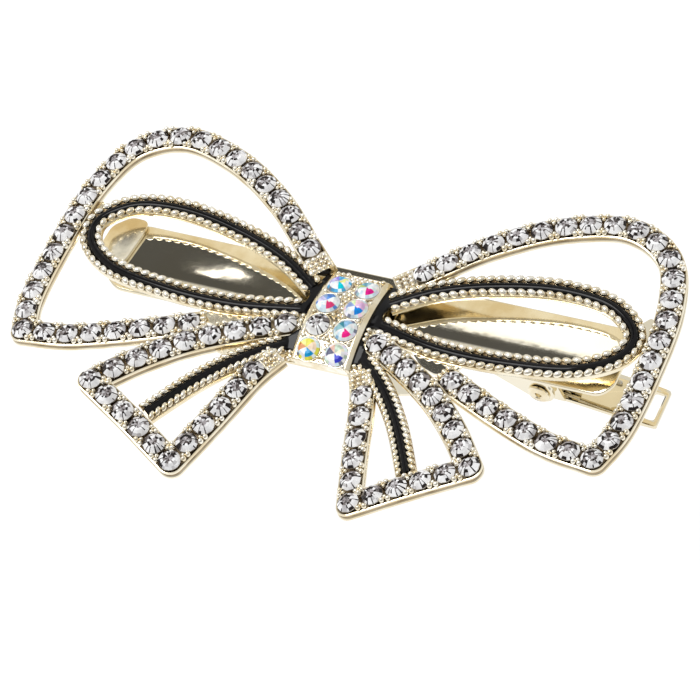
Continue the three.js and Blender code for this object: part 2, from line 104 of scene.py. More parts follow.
SHEET = 0.6
UPPER_TOP = 1.5
UPPER_HALF = 5.0
EAR_HALF = 4.3
UPPER_TIP_X = -36.5
UPPER_REAR_X = 38.5
EAR_END_X = 30.6
LOWER_HALF = 3.3
HANDLE_HALF = 3.0
LOWER_PATH = [(-35.8, 0.3), (18.2, 0.3), (24.4, -5.2), (30.0, -5.5), (42.2, -7.7)]
PIN_X = 27.3
PIN_Z = -3.0
WIRE_RADIUS = 0.3
COIL_RADIUS = 1.25
COIL_PITCH = 0.78
COIL_TURNS = 4

ARCH_RISE = 0.96
ARCH_MIDDLE = 25.3
ARCH_SPAN = 21.3
TAIL_SLOPE_X = 0.16
TAIL_SLOPE_Y = 0.068
TAIL_PIVOT = (4, -3)


def wing_lift(x, y):
    """How far the wing's arch lifts a point above the knot's level."""
    return ARCH_RISE * (1 - ((abs(x) - ARCH_MIDDLE) / ARCH_SPAN) ** 2)


def tail_lift(x, y):
    """How far the tail's tilt lifts a point above the knot's level."""
    return TAIL_SLOPE_X * (abs(x) - TAIL_PIVOT[0]) + TAIL_SLOPE_Y * (y - TAIL_PIVOT[1])


# ---------- plan curves ----------


class Curve:
    """A centripetal Catmull-Rom curve through plan points, read by distance along it."""

    def __init__(self, points, side=1):
        control = np.array(points, float) * (side, 1)
        first = 2 * control[0] - control[1]
        last = 2 * control[-1] - control[-2]
        control = np.vstack([first, control, last])
        dense = [self.segment(control[i : i + 4]) for i in range(len(control) - 3)]
        self.xy = np.vstack(dense + [control[-2:-1]])
        steps = np.linalg.norm(np.diff(self.xy, axis=0), axis=1)
        self.at_xy = np.concatenate([[0], np.cumsum(steps)])
        self.length = float(self.at_xy[-1])
        slope = np.gradient(self.xy, self.at_xy, axis=0)
        self.slope = slope / np.linalg.norm(slope, axis=1)[:, None]

    @staticmethod
    def segment(p, steps=40):
        gaps = [math.sqrt(np.linalg.norm(p[i + 1] - p[i])) for i in range(3)]
        t1 = (p[1] - p[0]) / gaps[0] - (p[2] - p[0]) / (gaps[0] + gaps[1]) + (p[2] - p[1]) / gaps[1]
        t2 = (p[2] - p[1]) / gaps[1] - (p[3] - p[1]) / (gaps[1] + gaps[2]) + (p[3] - p[2]) / gaps[2]
        t1, t2 = t1 * gaps[1], t2 * gaps[1]
        w = np.arange(steps)[:, None] / steps
        c2 = -3 * p[1] + 3 * p[2] - 2 * t1 - t2
        c3 = 2 * p[1] - 2 * p[2] + t1 + t2
        return p[1] + t1 * w + c2 * w**2 + c3 * w**3

    def at(self, d):
        """(point, direction, left normal) at a distance."""
        point = np.array([np.interp(d, self.at_xy, self.xy[:, k]) for k in (0, 1)])
        along = np.array([np.interp(d, self.at_xy, self.slope[:, k]) for k in (0, 1)])
        along /= np.linalg.norm(along)
        return point, along, np.array([-along[1], along[0]])

    def distance_at_x(self, x):
        """Distance at which the curve, read from its start, first gets as far out as |x|."""
        reached = np.abs(self.xy[:, 0]) >= x
        return float(self.at_xy[int(np.argmax(reached))])

    def last_distance_at_x(self, x):
        """Distance at which the curve, read to its end, is last as far out as |x|."""
        reached = np.abs(self.xy[::-1, 0]) >= x
        return float(self.at_xy[len(self.at_xy) - 1 - int(np.argmax(reached))])


def stations(curves, start=0.0, end=None, step=0.6, reach=RAIL_HALF):
    """Places for a section swept along curves: (point, normal used left of it, normal used right of it)."""
    out = []
    end = curves[-1].length if end is None else end
    trims = [0.0]
    for a, b in zip(curves, curves[1:]):
        na, nb = a.at(a.length)[2], b.at(0)[2]
        trims.append(reach * math.tan(math.acos(np.clip(na @ nb, -1, 1)) / 2) + 0.05)
    trims.append(0.0)
    for i, curve in enumerate(curves):
        low = start if i == 0 else trims[i]
        high = end if i == len(curves) - 1 else curve.length - trims[i + 1]
        count = max(2, round((high - low) / step))
        for k in range(count + 1):
            point, _, normal = curve.at(low + (high - low) * k / count)
            out.append((point, normal, normal))
        if i < len(curves) - 1:
            out += corner(curve, curves[i + 1])
    return out


def corner(a, b, steps=9):
    """Stations round the outside of a sharp corner; its inside stays a mitre."""
    point, _, na = a.at(a.length)
    nb = b.at(0)[2]
    turn = math.atan2(na[0] * nb[1] - na[1] * nb[0], na @ nb)
    mitre = (na + nb) / np.linalg.norm(na + nb) / math.cos(turn / 2)
    out = []
    for k in range(steps + 1):
        angle = turn * k / steps
        c, s = math.cos(angle), math.sin(angle)
        outer = np.array([c * na[0] - s * na[1], s * na[0] + c * na[1]])
        left, right = (mitre, outer) if turn > 0 else (outer, mitre)
        out.append((point, left, right))
    return out


# ---------- meshes ----------


def circle(count):
    """Angles of `count` even steps round a full turn."""
    return [2 * math.pi * k / count for k in range(count)]


def quads(rings, n, wrap=False):
    """Faces between neighbouring rings of n points; `wrap` also joins the last ring to the first."""
    total = rings * n
    faces = []
    for i in range(rings if wrap else rings - 1):
        for k in range(n):
            a, b = i * n + k, i * n + (k + 1) % n
            faces.append((a, b, (b + n) % total, (a + n) % total))
    return faces


def caps(total, n):
    """The two end faces of a run of rings with `total` points."""
    return [tuple(range(n)), tuple(range(total - n, total))]


def prism_faces(n):
    """Faces of a prism whose first n points are its one end and whose next n are the other."""
    walls = [(k, (k + 1) % n, n + (k + 1) % n, n + k) for k in range(n)]
    return [tuple(range(n))[::-1], tuple(range(n, 2 * n))] + walls


class Batch:
    """Faces gathered in millimetres, for one piece. Each has a material number and may have a colour."""

    def __init__(self):
        self.verts, self.faces, self.numbers, self.colours = [], [], [], []

    def add(self, verts, faces, number=0, colours=None):
        """`number` is one material number for all the faces, or a list with one for each."""
        base = len(self.verts)
        self.verts += [tuple(v) for v in verts]
        self.faces += [tuple(base + i for i in f) for f in faces]
        self.numbers += number if isinstance(number, list) else [number] * len(faces)
        self.colours += list(colours) if colours is not None else [(1, 1, 1)] * len(faces)

    def piece(self, name, materials, body=ROOT, replaces=(), slot=None, smooth=None):
        """Makes the object. `smooth` is the angle in degrees under which faces are shaded smooth."""
        mesh = millimetre_mesh(name, self)
        for material in materials:
            mesh.materials.append(material)
        mesh.polygons.foreach_set("material_index", self.numbers)
        tone = mesh.color_attributes.new("tone", "FLOAT_COLOR", "CORNER")
        flat = []
        for face, colour in zip(mesh.polygons, self.colours):
            flat += [*colour, 1.0] * face.loop_total
        tone.data.foreach_set("color", flat)
        clean(mesh)
        if smooth is not None:
            mesh.shade_smooth()
            mesh.set_sharp_from_angle(angle=math.radians(smooth))
        return place(name, mesh, body, replaces, slot)


def clean(mesh):
    """Joins points that meet, drops empty faces and turns every face outwards."""
    bm = bmesh.new()
    bm.from_mesh(mesh)
    bmesh.ops.remove_doubles(bm, verts=bm.verts, dist=1e-6)
    bmesh.ops.dissolve_degenerate(bm, edges=bm.edges, dist=1e-6)
    bmesh.ops.recalc_face_normals(bm, faces=bm.faces)
    bm.to_mesh(mesh)
    bm.free()


def linked(name, data):
    """A new object in the scene."""
    obj = bpy.data.objects.new(name, data)
    bpy.context.scene.collection.objects.link(obj)
    return obj


def millimetre_mesh(name, batch):
    mesh = bpy.data.meshes.new(name)
    mesh.from_pydata([tuple(c * MM for c in v) for v in batch.verts], [], batch.faces)
    return mesh


def place(name, mesh, body, replaces, slot):
    """Puts a piece on its body, in place of CAD nodes. Its `slot` is not used."""
    obj = linked(name, mesh)
    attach(obj, body)
    if replaces:
        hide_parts(*replaces)
    return obj


def mirrored(section):
    """A section's right half with its mirror image."""
    return section + [(-u, v) for u, v in reversed(section)]


def loft(batch, rings):
    """Joins rings of points, with the same count in each, into one closed body."""
    n = len(rings[0])
    points = [point for ring in rings for point in ring]
    batch.add(points, quads(len(rings), n) + caps(len(points), n))


def sweep(batch, places, section, lift, dark=()):
    """A closed section of (side offset, height over the girdle) swept along stations. Its `dark` sides get
    the second material, which is painted shade."""
    points = []
    for point, left, right in places:
        for u, v in section:
            xy = point + u * (left if u > 0 else right)
            points.append((xy[0], xy[1], GIRDLE_Z + lift(*xy) + v))
    n = len(section)
    sides = quads(len(places), n)
    lit = [face for i, face in enumerate(sides) if i % n not in dark] + caps(len(points), n)
    shadowed = [face for i, face in enumerate(sides) if i % n in dark]
    batch.add(points, lit + shadowed, [0] * len(lit) + [1] * len(shadowed))


def ball(rings=6, around=10):
    """A unit sphere as arrays, for beads."""
    verts = [(0, 0, 1)]
    for i in range(1, rings):
        polar = math.pi * i / rings
        verts += [(math.sin(polar) * math.cos(t), math.sin(polar) * math.sin(t), math.cos(polar))
            for t in circle(around)]
    verts.append((0, 0, -1))
    last = len(verts) - 1
    faces = [(0, 1 + (k + 1) % around, 1 + k) for k in range(around)]
    faces += [tuple(1 + i for i in face) for face in quads(rings - 1, around)]
    faces += [(last - around + k, last - around + (k + 1) % around, last) for k in range(around)]
    return np.array(verts), faces


BALL = ball()


def bead(batch, centre, radii, turn=0.0, number=0):
    """An ellipsoid bead; `turn` turns it in plan."""
    verts, faces = BALL
    c, s = math.cos(turn), math.sin(turn)
    batch.add((verts * radii) @ np.array([(c, s, 0), (-s, c, 0), (0, 0, 1)]) + centre, faces, number)


def on_surface(curve, d, u, v, lift):
    """A point beside a curve: distance along it, side offset, height over the girdle."""
    point, along, normal = curve.at(d)
    xy = point + u * normal
    return np.array([xy[0], xy[1], GIRDLE_Z + lift(*xy) + v]), math.atan2(along[1], along[0])


WIRE_END = ((0.9, 0.35), (0.5, 0.85))  # steps of a rounded end: distance and radius, of the wire's radius


def tube(batch, points, radius, sides=12):
    """A round wire through points, with rounded ends."""
    points = np.array(points, float)
    along = np.gradient(points, axis=0)
    along /= np.linalg.norm(along, axis=1)[:, None]
    side = np.cross(along[0], (0.3, 0.2, 1.0))
    rings = []
    for i, (point, direction) in enumerate(zip(points, along)):
        side = side - (side @ direction) * direction
        side /= np.linalg.norm(side)
        other = np.cross(direction, side)
        steps = [(-shift, scale) for shift, scale in WIRE_END if i == 0] + [(0, 1)]
        steps += [(shift, scale) for shift, scale in WIRE_END[::-1] if i == len(points) - 1]
        for shift, scale in steps:
            centre = point + direction * shift * radius
            rings.append([centre + scale * radius * (math.cos(t) * side + math.sin(t) * other)
                for t in circle(sides)])
    loft(batch, rings)


def lathe_y(batch, x, z, profile, around=40):
    """A body of revolution about an axis along Y: profile of (radius, y), closed on itself."""
    points = [(x + r * math.cos(t), y, z + r * math.sin(t)) for t in circle(around) for r, y in profile]
    batch.add(points, quads(around, len(profile), wrap=True))


def prism(batch, outline, low, high, number=0):
    """A plan outline between two heights; each height may be a number or a function of x and y."""
    points = [(x, y, z(x, y) if callable(z) else z) for z in (low, high) for x, y in outline]
    batch.add(points, prism_faces(len(outline)), number)


def side_prism(batch, outline, y0, y1):
    """An XZ outline between two widths."""
    points = [(x, y, z) for y in (y0, y1) for x, z in outline]
    batch.add(points, prism_faces(len(outline)))


def bend(a, b, c, radius, steps):
    """Points round the corner b of the path a, b, c."""
    a, b, c = (np.array(p, float) for p in (a, b, c))
    reach = min(radius, np.linalg.norm(a - b) / 2.2, np.linalg.norm(c - b) / 2.2)
    p = b + (a - b) / np.linalg.norm(a - b) * reach
    q = b + (c - b) / np.linalg.norm(c - b) * reach
    shares = [k / steps for k in range(steps + 1)]
    return [tuple((1 - t) ** 2 * p + 2 * t * (1 - t) * b + t**2 * q) for t in shares]


def rectangle(half, low, high):
    """Corners of a plan rectangle: half its length along X, and its two ends along Y."""
    return [(-half, low), (half, low), (half, high), (-half, high)]


def rounded(corners, radius, steps=5):
    """A polygon with each corner rounded."""
    out = []
    for i, corner_point in enumerate(corners):
        out += bend(corners[i - 1], corner_point, corners[(i + 1) % len(corners)], radius, steps)
    return out


def rounded_line(points, radius, steps=8):
    """An open path with each of its inner corners rounded."""
    out = [tuple(points[0])]
    for a, b, c in zip(points, points[1:], points[2:]):
        out += bend(a, b, c, radius, steps)
    return out + [tuple(points[-1])]


def soften(obj, width, segments=3):
    """Rounds the edges of a piece."""
    bevel = obj.modifiers.new("edges", "BEVEL")
    bevel.width = width * MM
    bevel.segments = segments
    bevel.limit_method = "ANGLE"
    bevel.angle_limit = math.radians(30)
    apply_modifiers(obj)
    obj.data.shade_smooth()
    obj.data.set_sharp_from_angle(angle=math.radians(50))
    return obj


def cut(obj, *cutters, operation="DIFFERENCE"):
    """Takes the cutters away from a piece, or keeps what lies in all of them."""
    for cutter in cutters:
        away = obj.modifiers.new("cut", "BOOLEAN")
        away.operation = operation
        away.object = cutter
        away.solver = "EXACT"
    apply_modifiers(obj)
    for cutter in cutters:
        bpy.data.objects.remove(cutter)


def apply_modifiers(obj):
    """Replaces a piece's mesh with what its modifiers make of it."""
    graph = bpy.context.evaluated_depsgraph_get()
    made = bpy.data.meshes.new_from_object(obj.evaluated_get(graph))
    old = obj.data
    obj.modifiers.clear()
    obj.data = made
    bpy.data.meshes.remove(old)


def reshape(obj, planes, rise):
    """Cuts a piece along planes, each a point and a normal, then lifts its points by `rise` of x and y."""
    bm = bmesh.new()
    bm.from_mesh(obj.data)
    for at, normal in planes:
        everything = bm.verts[:] + bm.edges[:] + bm.faces[:]
        bmesh.ops.bisect_plane(bm, geom=everything, plane_co=Vector(at) * MM, plane_no=normal)
    for v in bm.verts:
        v.co.z += MM * rise(v.co.x / MM, v.co.y / MM)
    bm.to_mesh(obj.data)
    bm.free()


def follow(obj, height, step=0.35):
    """Cuts a flat piece into strips and lays it on a surface."""
    planes = []
    for axis in (0, 1):
        normal = np.eye(3)[axis]
        places = [v.co[axis] / MM for v in obj.data.vertices]
        planes += [(at * normal, normal) for at in np.arange(min(places) + step / 2, max(places), step)]
    reshape(obj, planes, height)


# ---------- materials ----------


def fill(tree, made, inputs):
    """Gives a node's inputs a constant each, or another node's output."""
    for socket, value in inputs.items():
        if isinstance(value, bpy.types.NodeSocket):
            tree.links.new(value, made.inputs[socket])
        else:
            made.inputs[socket].default_value = value


def node(tree, kind, inputs=(), **settings):
    made = tree.nodes.new("ShaderNode" + kind)
    for name, value in settings.items():
        setattr(made, name, value)
    fill(tree, made, dict(inputs))
    return made


def material(name):
    made = bpy.data.materials.new(name)
    made.use_nodes = True
    return made, made.node_tree, made.node_tree.nodes["Principled BSDF"]


def noise(tree, scale, detail=3.0):
    """Noise over the piece's own coordinates, in metres."""
    where = node(tree, "TexCoord").outputs["Object"]
    return node(tree, "TexNoise", {"Scale": scale, "Detail": detail, "Vector": where}).outputs["Fac"]


def ramp(tree, source, stops):
    """A colour between two stops of (position, colour), by a value."""
    made = node(tree, "ValToRGB", {"Fac": source})
    for element, (position, colour) in zip(made.color_ramp.elements, stops):
        element.position = position
        element.color = (*colour, 1)
    return made.outputs["Color"]


def bump(tree, source, strength, distance):
    inputs = {"Height": source, "Strength": strength, "Distance": distance}
    return node(tree, "Bump", inputs).outputs["Normal"]


def span(tree, source, low, high):
    return node(tree, "MapRange", {"Value": source, "To Min": low, "To Max": high}).outputs["Result"]


def plated(name, bright, worn, rough, grain, dent=0.15):
    """Plated metal: slight colour change, uneven polish (`rough` is its range) and fine casting ripples."""
    made, tree, shader = material(name)
    blotch = noise(tree, grain)
    fill(tree, shader, {
        "Metallic": 1.0,
        "Base Color": ramp(tree, blotch, [(0.35, worn), (0.62, bright)]),
        "Roughness": span(tree, blotch, *rough),
        "Normal": bump(tree, noise(tree, grain * 3.0), dent, 0.00012),
    })
    return made


def enamel_material():
    """Glossy black enamel with a faintly uneven surface."""
    made, tree, shader = material("black_enamel")
    pool = noise(tree, 500.0, 2.0)
    fill(tree, shader, {
        "Specular IOR Level": 0.2,
        "Roughness": 0.07,
        "Base Color": ramp(tree, pool, [(0.3, (0.001, 0.001, 0.001)), (0.75, (0.004, 0.003, 0.004))]),
        "Normal": bump(tree, pool, 0.12, 0.0002),
    })
    return made


def stone_material(name):
    """Cut glass over foil: each facet is painted with a tone of reflected light and shade, under a hard
    polish.
    """
    made, tree, shader = material(name)
    tone = node(tree, "VertexColor", layer_name="tone").outputs["Color"]
    veil = ramp(tree, noise(tree, 900.0, 1.0), [(0.3, (0.6, 0.58, 0.58)), (0.6, (1, 1, 1))])
    mix = node(tree, "Mix", {"Factor": 0.6, 6: tone, 7: veil}, data_type="RGBA", blend_type="MULTIPLY")
    fill(tree, shader, {"Base Color": mix.outputs[2], "Roughness": 0.1, "Specular IOR Level": 0.2})
    return made


gold = plated("champagne_plating", (0.90, 0.83, 0.66), (0.76, 0.64, 0.42), (0.10, 0.24), 260.0)
# painted highlight: a paler copy of the plating for the grains, collars and knot dome, so that they read as
# catching more light
painted_highlight_gold = plated("painted_highlight_plating", (0.97, 0.93, 0.83), (0.82, 0.72, 0.52), (0.07, 0.18), 500.0)
# painted shade: a dark brown plating laid where shade falls, in grooves and slits, under the grains, on
# dimples and under the stones
painted_shade = plated("painted_shade_plating", (0.46, 0.36, 0.23), (0.2, 0.14, 0.08), (0.3, 0.5), 420.0)
polished = plated("polished_plating", (0.86, 0.80, 0.65), (0.80, 0.72, 0.54), (0.02, 0.05), 60.0, 0.05)
steel = plated("spring_wire", (0.72, 0.68, 0.58), (0.52, 0.47, 0.38), (0.2, 0.35), 700.0)
solder = plated("solder_joint", (0.78, 0.7, 0.5), (0.6, 0.5, 0.32), (0.3, 0.5), 350.0, 0.6)
enamel = enamel_material()
crystal = stone_material("clear_crystal")
aurora = stone_material("aurora_crystal")


# ---------- stones ----------

FAR_WAY = 131.0  # plan direction, in degrees, of the stones' side painted with grey reflections
RING_EDGES = (0.0, 0.34, TABLE_RATIO, 0.79, 1.0)  # of the radius
RING_HEIGHTS = (1.0, 1.0, 1.0, 0.54, 0.07)  # of the crown
GIRDLE_FOOT = -0.06  # of the radius
RIM_TONE = (0.68, 0.63, 0.55)
# tones painted on the clear stones' facets as reflected light and shade
WHITE = (0.95, 0.95, 0.96)
INK = (0.02, 0.015, 0.014)
SMOKE = (0.085, 0.07, 0.066)
GREY = (0.22, 0.195, 0.19)
LILAC = (0.42, 0.39, 0.4)
PALE = (0.62, 0.61, 0.62)


def jitter(colour, amount=0.12):
    """A colour made a little lighter or darker."""
    k = 1 + rng.uniform(-amount, amount)
    return tuple(min(1.0, c * k) for c in colour)


BROAD_ANGLE = (13, 34)  # degrees, of a clear stone's broad facets
THIN_ANGLE = (4, 10)
THIN_SHARE = 0.6  # of the broad facets that a thin one follows


def ray_edges():
    """Plan angles, from the far side, that part a clear stone's facets: broad ones with thin ones between."""
    edges, off = [], rng.uniform(-30, 30)
    end = off + 360
    while off < end - 12:
        edges.append((off, False))
        off += rng.uniform(*BROAD_ANGLE)
        if off < end - 10 and rng.random() < THIN_SHARE:
            edges.append((off, True))
            off += rng.uniform(*THIN_ANGLE)
    return edges, end


# how far the painted reflections of each zone of a clear stone vary, and each tone with the share that ends
# with it
CLEAR_PAINTED_REFLECTIONS = {
    "table": (0.3, (0.4, LILAC), (0.6, PALE), (1, SMOKE)),
    "far inner": (0.3, (0.6, INK), (0.75, SMOKE), (1, WHITE)),
    "far rim": (0.2, (0.35, WHITE), (0.65, GREY), (1, INK)),
    "far thin": (0.3, (1, INK)),
    "far": (0.3, (0.4, LILAC), (0.75, GREY), (1, WHITE)),
    "flank thin": (0.12, (0.75, INK), (1, GREY)),
    "flank": (0.1, (0.55, WHITE), (0.65, PALE), (0.8, GREY), (1, INK)),
    "near thin": (0.12, (0.55, INK), (0.75, GREY), (1, WHITE)),
    "near inner": (0.1, (0.62, WHITE), (0.8, GREY), (1, INK)),
    "near": (0.05, (0.85, WHITE), (0.92, PALE), (1, INK)),
}


def clear_zone(ring, off, thin):
    """Name of the zone of a clear stone that a facet lies in, by its ring and its angle from the far side."""
    if ring == 0:
        return "table"
    if off < 70:
        return {1: "far inner", 3: "far rim"}.get(ring, "far thin" if thin else "far")
    if off < 115:
        return "flank thin" if thin else "flank"
    if thin:
        return "near thin"
    return "near inner" if ring == 1 else "near"


def clear_painted_reflection(ring, off, thin):
    """Painted reflection of one facet: a lilac-grey fan on the far side, black inside it, white rays nearer
    the viewer.
    """
    spread, *shares = CLEAR_PAINTED_REFLECTIONS[clear_zone(ring, abs((off + 180) % 360 - 180), thin)]
    pick = rng.random()
    return jitter(next(tone for share, tone in shares if pick < share), spread)


def even_edges(count=18):
    """Plan angles of an iridescent stone's broad facets."""
    shift = rng.uniform(-6, 6)
    return [(shift + 360 / count * k, False) for k in range(count)], shift + 360


# tones painted on the iridescent stones' facets as reflections
AURORA_PALE = [
    (0.70, 0.86, 0.98), (0.96, 0.97, 0.99), (0.80, 0.96, 0.95), (0.99, 0.96, 0.86), (0.84, 0.82, 0.98),
]
AURORA_SLATE = (0.25, 0.27, 0.36)
FAN_HALF = 75  # degrees, half of the far side painted with coloured reflections
SPARK_ANGLE = 152  # the facet with a painted glint lies past this, and the table's share of it past the next
SPARK_TABLE_ANGLE = 160


def aurora_painted_reflection(scheme):
    """Painted reflections of an iridescent stone: a coloured far side, pale flanks and a painted glint on one
    facet near the viewer.
    """
    far, flank, spark = scheme

    def tone(ring, off, thin):
        off = (off + 180) % 360 - 180
        pick = rng.random()
        if abs(off) > SPARK_ANGLE and ring in (1, 2):
            return jitter(spark, 0.12)
        if abs(off) > SPARK_TABLE_ANGLE and ring == 0:
            return jitter(spark, 0.3)
        if abs(off) < FAN_HALF and ring < 3:
            return jitter(far[int((off + FAN_HALF) / 50.1)], 0.22)
        if ring == 3:
            return jitter(AURORA_SLATE if pick < 0.12 else rng.choice(AURORA_PALE + far[:1]), 0.15)
        if off < 0:
            return jitter(flank if pick < 0.7 else AURORA_PALE[1], 0.06)
        return jitter(AURORA_PALE[0] if pick < 0.35 else AURORA_PALE[1], 0.05)

    return tone


def stone(batch, centre, radius, tone, edges, basis=np.eye(3)):
    """One stone in the frame that `basis` gives by rows: a flat table in two rings, two rings of crown
    facets, a girdle and a pointed back."""
    starts, end = edges()
    angles = [off for off, _ in starts] + [end]
    crown = STONE_CROWN / STONE_RADIUS

    def corner_at(ring, off):
        turn = math.radians(FAR_WAY + off)
        reach, height = RING_EDGES[ring], RING_HEIGHTS[ring] * crown
        return (reach * math.cos(turn), reach * math.sin(turn), height)

    def facet(corners, colour):
        points = np.array(corners) * radius @ basis + centre
        batch.add(points, [tuple(range(len(corners)))], 0, [colour])

    for (off, thin), after in zip(starts, angles[1:]):
        for ring in range(len(RING_EDGES) - 1):
            corners = [corner_at(ring, off), corner_at(ring + 1, off), corner_at(ring + 1, after)]
            if ring:
                corners.append(corner_at(ring, after))
            facet(corners, tone(ring, (off + after) / 2, thin))
        low = [(*corner_at(4, a)[:2], GIRDLE_FOOT) for a in (off, after)]
        facet([corner_at(4, off), low[0], low[1], corner_at(4, after)], RIM_TONE)
        facet([low[0], (0, 0, -STONE_PAVILION / STONE_RADIUS), low[1]], RIM_TONE)


def tilt_basis(lift, x, y):
    """Rows are the surface's own x, y and up directions at a point."""
    e = 0.05
    dx = (lift(x + e, y) - lift(x - e, y)) / (2 * e)
    dy = (lift(x, y + e) - lift(x, y - e)) / (2 * e)
    up = np.array([-dx, -dy, 1.0])
    up /= np.linalg.norm(up)
    first = np.cross((0, 1, 0), up)
    first /= np.linalg.norm(first)
    return np.array([first, np.cross(up, first), up])


def spaced(first, last, count):
    return [first + (last - first) * i / (count - 1) for i in range(count)]


def tail_curves(side):
    return [Curve(points, side) for points in (TAIL_UPPER, TAIL_END, TAIL_RETURN)]


def wing_rows(side):
    """The wing's stone rows: name, curve, distances of the stones."""
    arc, lower = Curve(WING_ARC, side), Curve(WING_LOWER, side)
    upper_count, side_count, lower_count = WING_COUNTS
    along_arc = spaced(WING_FIRST, arc.length, upper_count + side_count)
    return [
        ("wing_upper_stones", arc, along_arc[:upper_count]),
        ("wing_side_stones", arc, along_arc[upper_count:]),
        ("wing_lower_stones", lower, spaced(WING_LOWER_LEAD, lower.length - WING_LOWER_TRAIL, lower_count)),
    ]


def tail_rows(side):
    """The tail's stone rows: name, curve, distances of the stones."""
    upper, end, back = tail_curves(side)
    upper_count, end_count, back_count = TAIL_COUNTS
    last = back.length - TAIL_RETURN_LAST
    return [
        ("tail_upper_stones", upper, spaced(TAIL_FIRST, upper.length, upper_count)),
        ("tail_end_stones", end, spaced(end.length / end_count, end.length, end_count)),
        ("tail_return_stones", back, spaced(last / back_count, last, back_count)),
    ]


def make_stones(prefix, side):
    rows = [(*row, wing_lift) for row in wing_rows(side)] + [(*row, tail_lift) for row in tail_rows(side)]
    for name, curve, places, lift in rows:
        batch = Batch()
        for d in places:
            centre, _ = on_surface(curve, d, 0, 0, lift)
            basis = tilt_basis(lift, centre[0], centre[1])
            stone(batch, centre, STONE_RADIUS, clear_painted_reflection, ray_edges, basis)
        part = f"{prefix}_{name}"
        batch.piece(f"{part}_cut", [crystal], replaces=[part], slot="clear_crystal")


# ---------- cup rails and prongs ----------

LIP = 0.16
GRAIN_PITCH = 0.76
PRONG_ASIDE = 1.32  # of the grains in pairs, from the row's middle line
PRONG_SHIFT = 0.42  # of each grain in a pair, from the middle of the gap
INNER_ASIDE = 0.85  # of the single grains inside the pairs
PATCH_LEAD = 1.45  # a patch of grains ends this far before the first stone
PATCH_TRAIL = 1.6  # or starts this far after the last
SHADED = (3, 8, 9, 10, 15)  # faces of the section in the groove and in the slits of the walls, which get painted shade


def rail_section():
    """Outer wall, rounded lip and groove, as (offset, height)."""
    wall = [(RAIL_HALF - 0.12, RAIL_BOTTOM), (RAIL_HALF, RAIL_BOTTOM + 0.1), (RAIL_HALF, RAIL_BOTTOM + 0.42)]
    slit = [(RAIL_HALF - 0.1, RAIL_BOTTOM + 0.52), (RAIL_HALF - 0.1, RAIL_TOP - 0.36)]
    lip = [(RAIL_HALF, RAIL_TOP - 0.28), (RAIL_HALF - 0.04, RAIL_TOP - 0.04), (RAIL_HALF - LIP, RAIL_TOP)]
    lip += [(GROOVE_HALF, RAIL_TOP - 0.1)]
    return mirrored(wall + slit + lip + [(GROOVE_HALF - 0.12, GROOVE_FLOOR)])


def rail(name, curves, start, end, lift, replaces):
    """The cup wall along stone rows."""
    batch = Batch()
    sweep(batch, stations(curves, start, end), rail_section(), lift, SHADED)
    batch.piece(name, [gold, painted_shade], replaces=replaces, slot="plated_casting", smooth=40)


def gap_prongs(batch, curve, places, lift):
    """Pairs of small grains on both sides of every gap between neighbouring stones."""
    for a, b in zip(places, places[1:]):
        middle, reach = (a + b) / 2, (b - a) / 2
        for u in (-PRONG_ASIDE, PRONG_ASIDE):
            for shift in (-PRONG_SHIFT, PRONG_SHIFT):
                d = middle + shift * min(1.0, reach / 1.6) + rng.uniform(-0.05, 0.05)
                centre, turn = on_surface(curve, d, u * rng.uniform(0.97, 1.03), -0.02, lift)
                size = rng.uniform(0.37, 0.43)
                bead(batch, centre, (size, size * 0.92, size * 1.15), turn)
        for u in (-INNER_ASIDE, INNER_ASIDE):
            centre, turn = on_surface(curve, middle, u, -0.12, lift)
            bead(batch, centre, (0.3, 0.34, 0.4), turn)


def grain_patch(batch, curve, start, end, lift):
    """Rows of touching grains with dimples among them, painted dark as shade, on the plate between a stone
    row and the knot.
    """
    count = max(2, round((end - start) / GRAIN_PITCH))
    pitch = (end - start) / count
    for i in range(count):
        for u in (-1.5, -0.5, 0.5, 1.5):
            centre, turn = on_surface(curve, start + pitch * (i + 0.5), u * GRAIN_PITCH, -0.2, lift)
            size = rng.uniform(0.34, 0.4)
            bead(batch, centre, (size, size, size), turn)
        # dimples painted dark as the shade between the grains
        for u in (-1, 0, 1) if i else ():
            centre, turn = on_surface(curve, start + pitch * i, u * GRAIN_PITCH, -0.2, lift)
            bead(batch, centre, (0.17, 0.17, 0.13), turn, 1)


def patch_plate(batch, curve, start, end, lift):
    """The plate under a patch of grains."""
    section = mirrored([(1.5, -1.1), (1.5, -0.32), (1.2, -0.24)])
    sweep(batch, stations([curve], start, end, 0.5), section, lift)


def make_wing(prefix, side):
    rows = wing_rows(side)
    arc, lower = rows[0][1], rows[2][1]
    start, finish = 0.1, lower.length - 0.9
    rail(f"{prefix}_wing_cups", [arc, lower], start, finish, wing_lift, [f"{prefix}_wing_frame"])
    prongs = Batch()
    gap_prongs(prongs, arc, rows[0][2] + rows[1][2], wing_lift)
    gap_prongs(prongs, lower, [0.0] + rows[2][2], wing_lift)
    grain_patch(prongs, arc, start, WING_FIRST - PATCH_LEAD, wing_lift)
    patch_plate(prongs, arc, start, WING_FIRST - PATCH_LEAD + 0.15, wing_lift)
    ends = lower.length - WING_LOWER_TRAIL + PATCH_TRAIL
    grain_patch(prongs, lower, ends, finish, wing_lift)
    patch_plate(prongs, lower, ends - 0.2, finish - 0.05, wing_lift)
    prongs.piece(f"{prefix}_wing_prongs", [painted_highlight_gold, painted_shade], slot="plated_casting", smooth=60)


